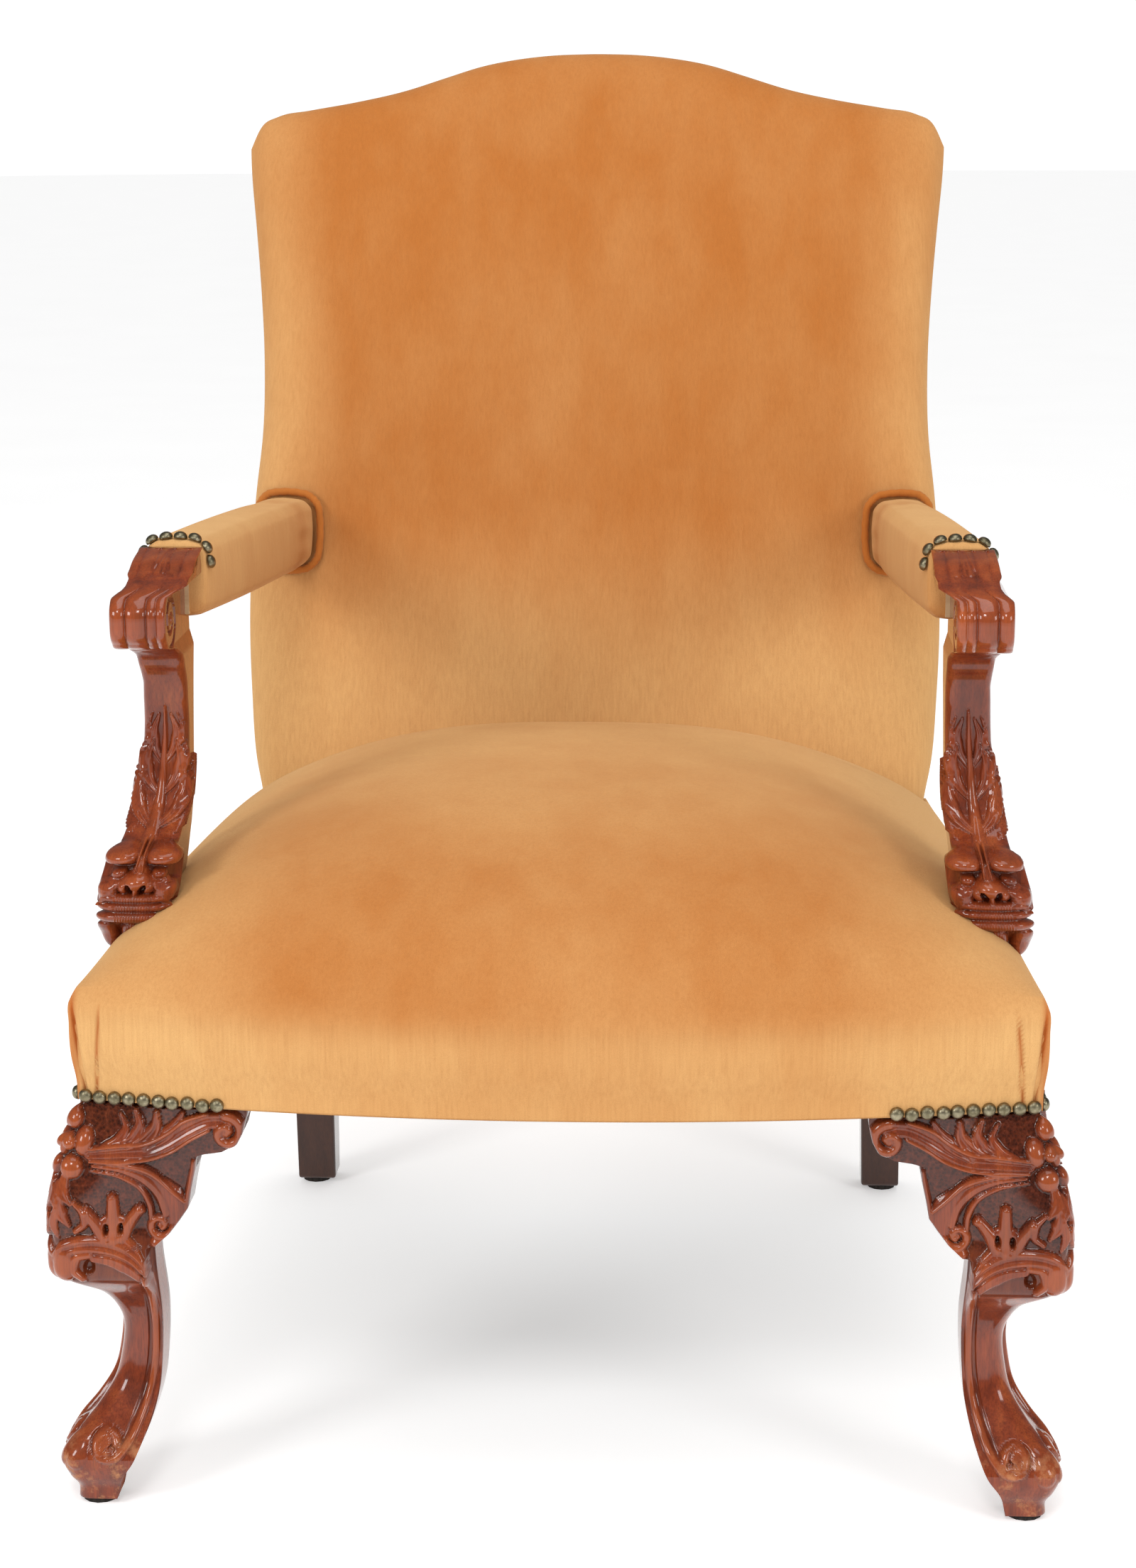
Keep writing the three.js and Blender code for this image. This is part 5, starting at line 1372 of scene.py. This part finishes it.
# %% Arm supports: the mask, the leaves and the scroll
def mask_carving(spots):
    """A beast's mask: two heavy brows, deep eyes, a broad nose with drilled nostrils, and three lip rolls
    over a row of tabs. Everything is an oval boss or a band, mirrored about the middle."""
    laid, cuts = [], []

    def boss(*shape):
        laid.append(bud(spots, *shape))

    def strap(points, widths, tall):
        laid.append(band(spots, curve_through(points), widths, tall))

    def cut(depth, *shape):
        cuts.append(depth * bud(spots, *shape, 1.0))

    for hand in (-1, 1):
        boss((hand * 13, 447), 12.2, 7.8, hand * -4, 11.6)  # brow
        boss((hand * 13.5, 435.6), 5.4, 4.4, hand * -8, 6.6)  # eye
        boss((hand * 19.5, 424.5), 8.0, 9.6, hand * 8, 8.0)  # cheek
        boss((hand * 8.4, 427.6), 5.8, 6.2, hand * -16, 11.0)  # wing of the nose
        boss((hand * 19.4, 389.5), 8.6, 11.5, 0, 7.0, 3)  # side tab
        brow_end = [(hand * 24, 449), (hand * 29, 437), (hand * 28.5, 422), (hand * 27, 414)]
        strap(brow_end, (2.4, 4.4, 2.2), 6.0)
        strap([(hand * 1.9, 458), (hand * 1.6, 449), (hand * 2.6, 438)], (1.2, 1.4, 1.2), 10.5)
        strap([(hand * 12.5, 430), (hand * 16.5, 422), (hand * 21, 413)], (1.4, 2.4, 1.6), 8.8)
        cut(9.0, (hand * 4.7, 425.6), 2.3, 4.0, hand * -28)  # nostril
        cut(6.0, (hand * 13.5, 440.6), 10.4, 2.3, hand * -4)  # slot under the brow
        cut(2.6, (hand * 9.9, 389.5), 1.2, 11, 0)  # slot between two tabs
        eye_end = curve_through([(hand * 21.5, 440), (hand * 22.5, 434), (hand * 19.5, 429)])
        cuts.append(3.0 * band(spots, eye_end, (1.2, 1.8, 1.0), 1.0))
    laid.append(band(spots, [(0, 446), (0, 434)], (3.2, 5.0, 8.0), 8.6))
    boss((0, 430.4), 11.8, 7.6, 0, 14.4)  # ball of the nose
    boss((0, 424.6), 2.7, 6.2, 0, 11.0)
    boss((0, 418.4), 29, 3.9, 0, 9.2)  # three rolls of lip
    boss((0, 411.8), 31, 4.1, 0, 8.8)
    boss((0, 403.6), 30, 5.2, 0, 9.8)
    boss((0, 389.5), 9.0, 11.5, 0, 8.0, 3)  # middle tab
    height = np.maximum.reduce(laid)
    wrinkles = 0.16 * np.cos(spots[:, 0] * 3.3) * (np.abs(spots[:, 1] - 410) < 14)
    return height + wrinkles * (height > 3) - np.maximum.reduce(cuts)


def leaf_carving(spots):
    """Acanthus on the lower shaft: a stem with three pairs of scooped leaves that bend outwards and up."""
    laid = [band(spots, [(0, 456), (0, 500), (0, 543)], (5.2, 2.6, 1.0), 4.0)]
    for hand in (-1, 1):
        for points, widths, tall in (
            ([(3, 462), (12, 470), (17, 484), (13, 499)], (2.0, 6.2, 1.0), 4.2),
            ([(2, 482), (9, 491), (12, 505), (8, 519)], (1.8, 5.0, 0.9), 3.8),
            ([(1, 503), (6, 512), (8, 524), (4, 537)], (1.6, 3.8, 0.8), 3.2),
            ([(16, 460), (24, 470), (27, 486), (23, 500)], (2.0, 4.6, 0.9), 3.6),
            ([(26, 462), (34, 474), (36, 490), (32, 503)], (1.8, 4.2, 0.9), 3.0),
        ):
            line = curve_through([(hand * a, b) for a, b in points])
            laid.append(band(spots, line, widths, tall, 0.55))
            shade = curve_through([(hand * (a + 4.4), b + 1.5) for a, b in points[1:]])
            laid.append(band(spots, shade, (0.8, 1.4, 0.5), tall * 0.9))
    return np.maximum.reduce(laid)


def scroll_carving(spots):
    """The roll under the arm: a flange outside, a wide barrel and two narrow reeds inside, and above it the
    collar's tabs with a fan cut in the middle."""
    s, z = spots.T
    in_roll = ease((z - 588) / 4) * (1 - ease((z - 630) / 8))
    reeds = 3.6 * rounded((s - 14.4) / 5.2, 2, 0.5) + 3.2 * rounded((s - 2) / 7.2, 2.4, 0.5)
    reeds = reeds + 2.6 * rounded((s + 8.6) / 3.4, 2, 0.5) + 2.8 * rounded((s + 15) / 3.2, 2, 0.5)
    in_collar = ease((z - 637) / 3)
    tabs = 2.6 * rounded(((s + 3.2) % 9.6 - 4.8) / 4.6, 2, 0.5) * (np.abs(s) < 40)
    height = reeds * in_roll + tabs * in_collar
    fan = ((-9, 639.5), (9, 639.5)), ((-5, 642), (-1, 651)), ((5, 642), (1, 651)), ((0, 641), (0, 651))
    for line in fan:
        height = height - 1.8 * band(spots, line, (0.8, 1.0, 0.8), 1.0)
    return height


def side_carving(spots):
    """On each cheek of the roll, a scroll line that winds in to an eye. spots are (back, up)."""
    middle = (75, 611)
    cut = 2.6 * band(spots, scroll_line(middle, 19.5, 4.5, -0.28, 1.45), (2.2, 2.0, 1.4), 1.0)
    return bud(spots, middle, 3.6, 3.6, 0, 1.6) - cut


# %% Arm supports: building them
support_z = np.concatenate([
    [293, 330, 354], np.linspace(360, 372, 8, endpoint=False), np.linspace(372, 462, 108, endpoint=False),
    np.linspace(462, 546, 84, endpoint=False), np.linspace(546, 584, 20, endpoint=False),
    np.linspace(584, 600, 36, endpoint=False), np.linspace(600, 652, 62),
])  # fmt: skip
z = support_z[:, None]
front_y = (read_off(SUPPORT_FRONT, support_z) + straight(SET_BACK, support_z))[:, None]
rear_y = read_off(SUPPORT_REAR, support_z)[:, None]
rear_y = np.maximum(rear_y, front_y + 6)
x_out, x_in = straight(SUPPORT_OUTER, support_z)[:, None], straight(SUPPORT_INNER, support_z)[:, None]
radius = straight(EDGE_RADIUS, support_z)[:, None]
radius = np.minimum(radius, np.minimum(x_out - x_in, rear_y - front_y) / 2 - 0.2)
across, back_y, out_x, out_y, unrolled = box_rings(x_in, x_out, front_y, rear_y, radius, (62, 8, 46, 14))
tall = np.broadcast_to(z, across.shape)
spots = np.stack([unrolled, tall], -1).reshape(-1, 2)
near_front = np.abs(spots[:, 0]) < 60
height = np.zeros(len(spots))
chosen = spots[near_front]
out_from_middle, up_it = np.abs(chosen[:, 0]), chosen[:, 1]
mask_part = mask_carving(chosen) * (1 - ease((up_it - MASK_TOP) / 5)) * ease((up_it - 360) / 6)
leaf_part = leaf_carving(chosen) * ease((up_it - 452) / 7) * (1 - ease((up_it - 540) / 8))
roll_part = scroll_carving(chosen) * (up_it > 586) * (out_from_middle < 24)
hollow = -1.8 * rounded(out_from_middle / 20, 2, 1) * groove(up_it - 556, 34)
fading = 1 - ease((out_from_middle - 34) / 20)
pattern = np.where(up_it < MASK_TOP, np.maximum(mask_part, leaf_part), leaf_part)
height[near_front] = pattern * fading + hollow + roll_part
height = height.reshape(across.shape)
on_cheek = (np.abs(out_x) > 0.98) & (tall > 588) & (tall < 636)
cheek_spots = np.stack([back_y, tall], -1).reshape(-1, 2)
height = height + side_carving(cheek_spots).reshape(across.shape) * on_cheek
carved_x, carved_y = across + out_x * height, back_y + out_y * height
support = skin("arm_support_carved_left", np.stack([-carved_x, carved_y, tall], -1), mahogany)
upper_mark = np.where(tall < 590, 0.34 + height / 8, 0.5 + height / 9)
carve_mark = np.where(tall < 455, 0.10 + height / 15, upper_mark)
mark_wood(support, np.where(np.abs(unrolled) < 60, carve_mark, 0.5))
twin = mirrored(support, "arm_support_carved_right")
for hand, piece in (("left", support), ("right", twin)):
    done(piece, "mahogany", f"arm_support_{hand}")

# %% [markdown]
# ## The nails
#
# Domed brass nails hold the cover's edge over each front leg and round the front of each arm. A head is a
# shallow dome with a rolled rim: a few rings turned about its own axis, set on the cloth's surface.


# %% Domed nails
NAIL_PITCH, NAIL_LINE, NAIL_SIDES = 10.3, 297.3, 16
NAIL_BOTTOM, NAIL_TOP = -1.2, 4.1
NAIL_PROFILE = [
    (3.2, NAIL_BOTTOM), (4.7, -0.6), (4.9, 0.2), (4.75, 1.2), (4.2, 2.3), (3.2, 3.2), (1.8, 3.85),
    (0.6, 4.05),
]  # fmt: skip


def nail_heads(name, spots, outs):
    """Heads at spots facing outs (both n by 3), as one piece: rings (radius, height) turned about each
    head's own axis."""
    angle = np.linspace(0, 2 * np.pi, NAIL_SIDES, endpoint=False)
    outs = outs / np.linalg.norm(outs, axis=1, keepdims=True)
    helper = np.where(np.abs(outs[:, 2:]) < 0.8, [[0.0, 0, 1]], [[0.0, 1, 0]])
    first = np.cross(outs, helper)
    first = first / np.linalg.norm(first, axis=1, keepdims=True)
    second = np.cross(outs, first)
    middle, axis, first, second = (each[:, None, None, :] for each in (spots, outs, first, second))
    wheel = np.cos(angle)[:, None] * first + np.sin(angle)[:, None] * second
    radius, height = np.array(NAIL_PROFILE).T[:, :, None, None]
    rings = middle + radius * wheel + height * axis
    points = np.concatenate([rings.reshape(-1, 3), spots + NAIL_TOP * outs, spots + NAIL_BOTTOM * outs])
    count = len(spots)
    index = numbered(*rings.shape[:3])
    beside = np.roll(index, -1, 2)
    quads = np.stack([index[:, :-1], beside[:, :-1], beside[:, 1:], index[:, 1:]], -1).reshape(-1, 4)
    top = (index.size + np.arange(count))[:, None] + np.zeros((1, NAIL_SIDES), int)
    caps = np.stack([top, index[:, -1], beside[:, -1]], -1).reshape(-1, 3)
    floor_caps = np.stack([top + count, beside[:, 0], index[:, 0]], -1).reshape(-1, 3)
    faces = [quads, caps, floor_caps]
    return mesh_of(name, points, faces, brass, enclosed(points, faces) < 0)


# %% The nail rows
# Over a leg the heads follow the front edge and then the side, and their places wander a little.
front_x = np.arange(SEAT_HALF_FRONT - 6, 226, -NAIL_PITCH)
front_row = np.stack([-front_x, seat_edge(front_x) - 0.6, np.full(len(front_x), NAIL_LINE)], 1)
front_out = np.stack([-0.22 * front_x / SEAT_HALF_FRONT, -np.ones(len(front_x)), np.zeros(len(front_x))], 1)
side_y = np.arange(2.0, 88, NAIL_PITCH)
side_x = SEAT_HALF_FRONT + (SEAT_HALF_REAR - SEAT_HALF_FRONT) * side_y / SEAT_DEPTH
side_row = np.stack([-side_x - 0.6, side_y, np.full(len(side_y), NAIL_LINE)], 1)
side_out = np.stack([-np.ones(len(side_y)), np.full(len(side_y), -0.08), np.zeros(len(side_y))], 1)
spots, outs = np.concatenate([front_row, side_row]), np.concatenate([front_out, side_out])
spots = spots + rng.normal(0, 0.35, spots.shape) * [1, 0, 1]
leg_nails = nail_heads("leg_nails_domed_left", spots, outs)

# Round an arm they are evenly spaced along its outline, over the top and down both sides.
girth = np.linspace(-np.pi, np.pi, 721)
ring_across, ring_up = round_box(girth, 24.3, 28.3, 16.3)
far = np.concatenate([[0], np.cumsum(np.hypot(np.diff(ring_across), np.diff(ring_up)))])
start_far, end_far = far[np.searchsorted(girth, -0.72)], far[np.searchsorted(girth, 3.05)]
stops = np.arange(start_far, end_far, NAIL_PITCH)
at_angle = np.interp(stops, far, girth)
nail_across, nail_up = round_box(at_angle, 24.2, 28.2, 16.2)
spots = on_arm(nail_across, nail_up, np.full(len(stops), 8.4))
outs = on_arm(np.cos(at_angle), np.sin(at_angle), np.zeros(len(stops))) - ARM_FRONT
arm_nails = nail_heads("arm_nails_domed_left", spots, outs)
for piece in (leg_nails, arm_nails):
    name = piece.name.replace("_domed_left", "")
    done(piece, "brass", f"{name}_left")
    done(mirrored(piece, f"{name}_domed_right"), "brass", f"{name}_right")

# %% [markdown]
# ## Underneath
#
# Black cambric closes the underside. It is a light sheet, tacked at its edge and sagging a little between
# the rails. The rear posts keep their CAD shape, with their sharp edges eased by a small bevel.

# %% The dust cover
CAMBRIC_EDGE = [(-8, 190), (30, 200), (68, 262), (528, 226), (592, 206)]
CAMBRIC_FRONT, CAMBRIC_LENGTH, CAMBRIC_HEIGHT = -8, 600, 289.0
across_it, along_it = np.meshgrid(np.linspace(-1, 1, 41), np.linspace(0, 1, 49), indexing="ij")
y = CAMBRIC_FRONT + CAMBRIC_LENGTH * along_it
sag = 5.0 * rounded(across_it, 2, 1) * np.sin(np.pi * along_it) ** 0.8
side_ripple = 0.35 * np.sin(across_it * 40) * (1 - rounded(across_it, 6, 1))
ripple = side_ripple + 0.3 * np.sin(along_it * 46) * groove(along_it, 0.2)
cloth_points = np.stack([across_it * straight(CAMBRIC_EDGE, y), y, CAMBRIC_HEIGHT - sag + ripple], -1)
panel = squares(numbered(*across_it.shape))
under = mesh_of("dust_cover_cambric", cloth_points.reshape(-1, 3), [panel], cambric)
facing(under, 2, -1)
thicken(under, 0.0008)
seen_area = sum(face.area for face in under.data.polygons)
print("cambric", round(seen_area, 4), "square metres")
done(under, "cambric", "dust_cover")

# %% The rear posts
for hand in ("left", "right"):
    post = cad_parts[f"rear_post_{hand}"]
    weld = post.modifiers.new("joined", "WELD")
    weld.merge_threshold = 0.00002
    eased = post.modifiers.new("eased", "BEVEL")
    eased.width, eased.segments = 0.0035, 3
    eased.limit_method, eased.angle_limit = "ANGLE", np.radians(50)


# %% The finished sizes
low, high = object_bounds()
print("visual box", [round(c, 3) for c in low], [round(c, 3) for c in high])
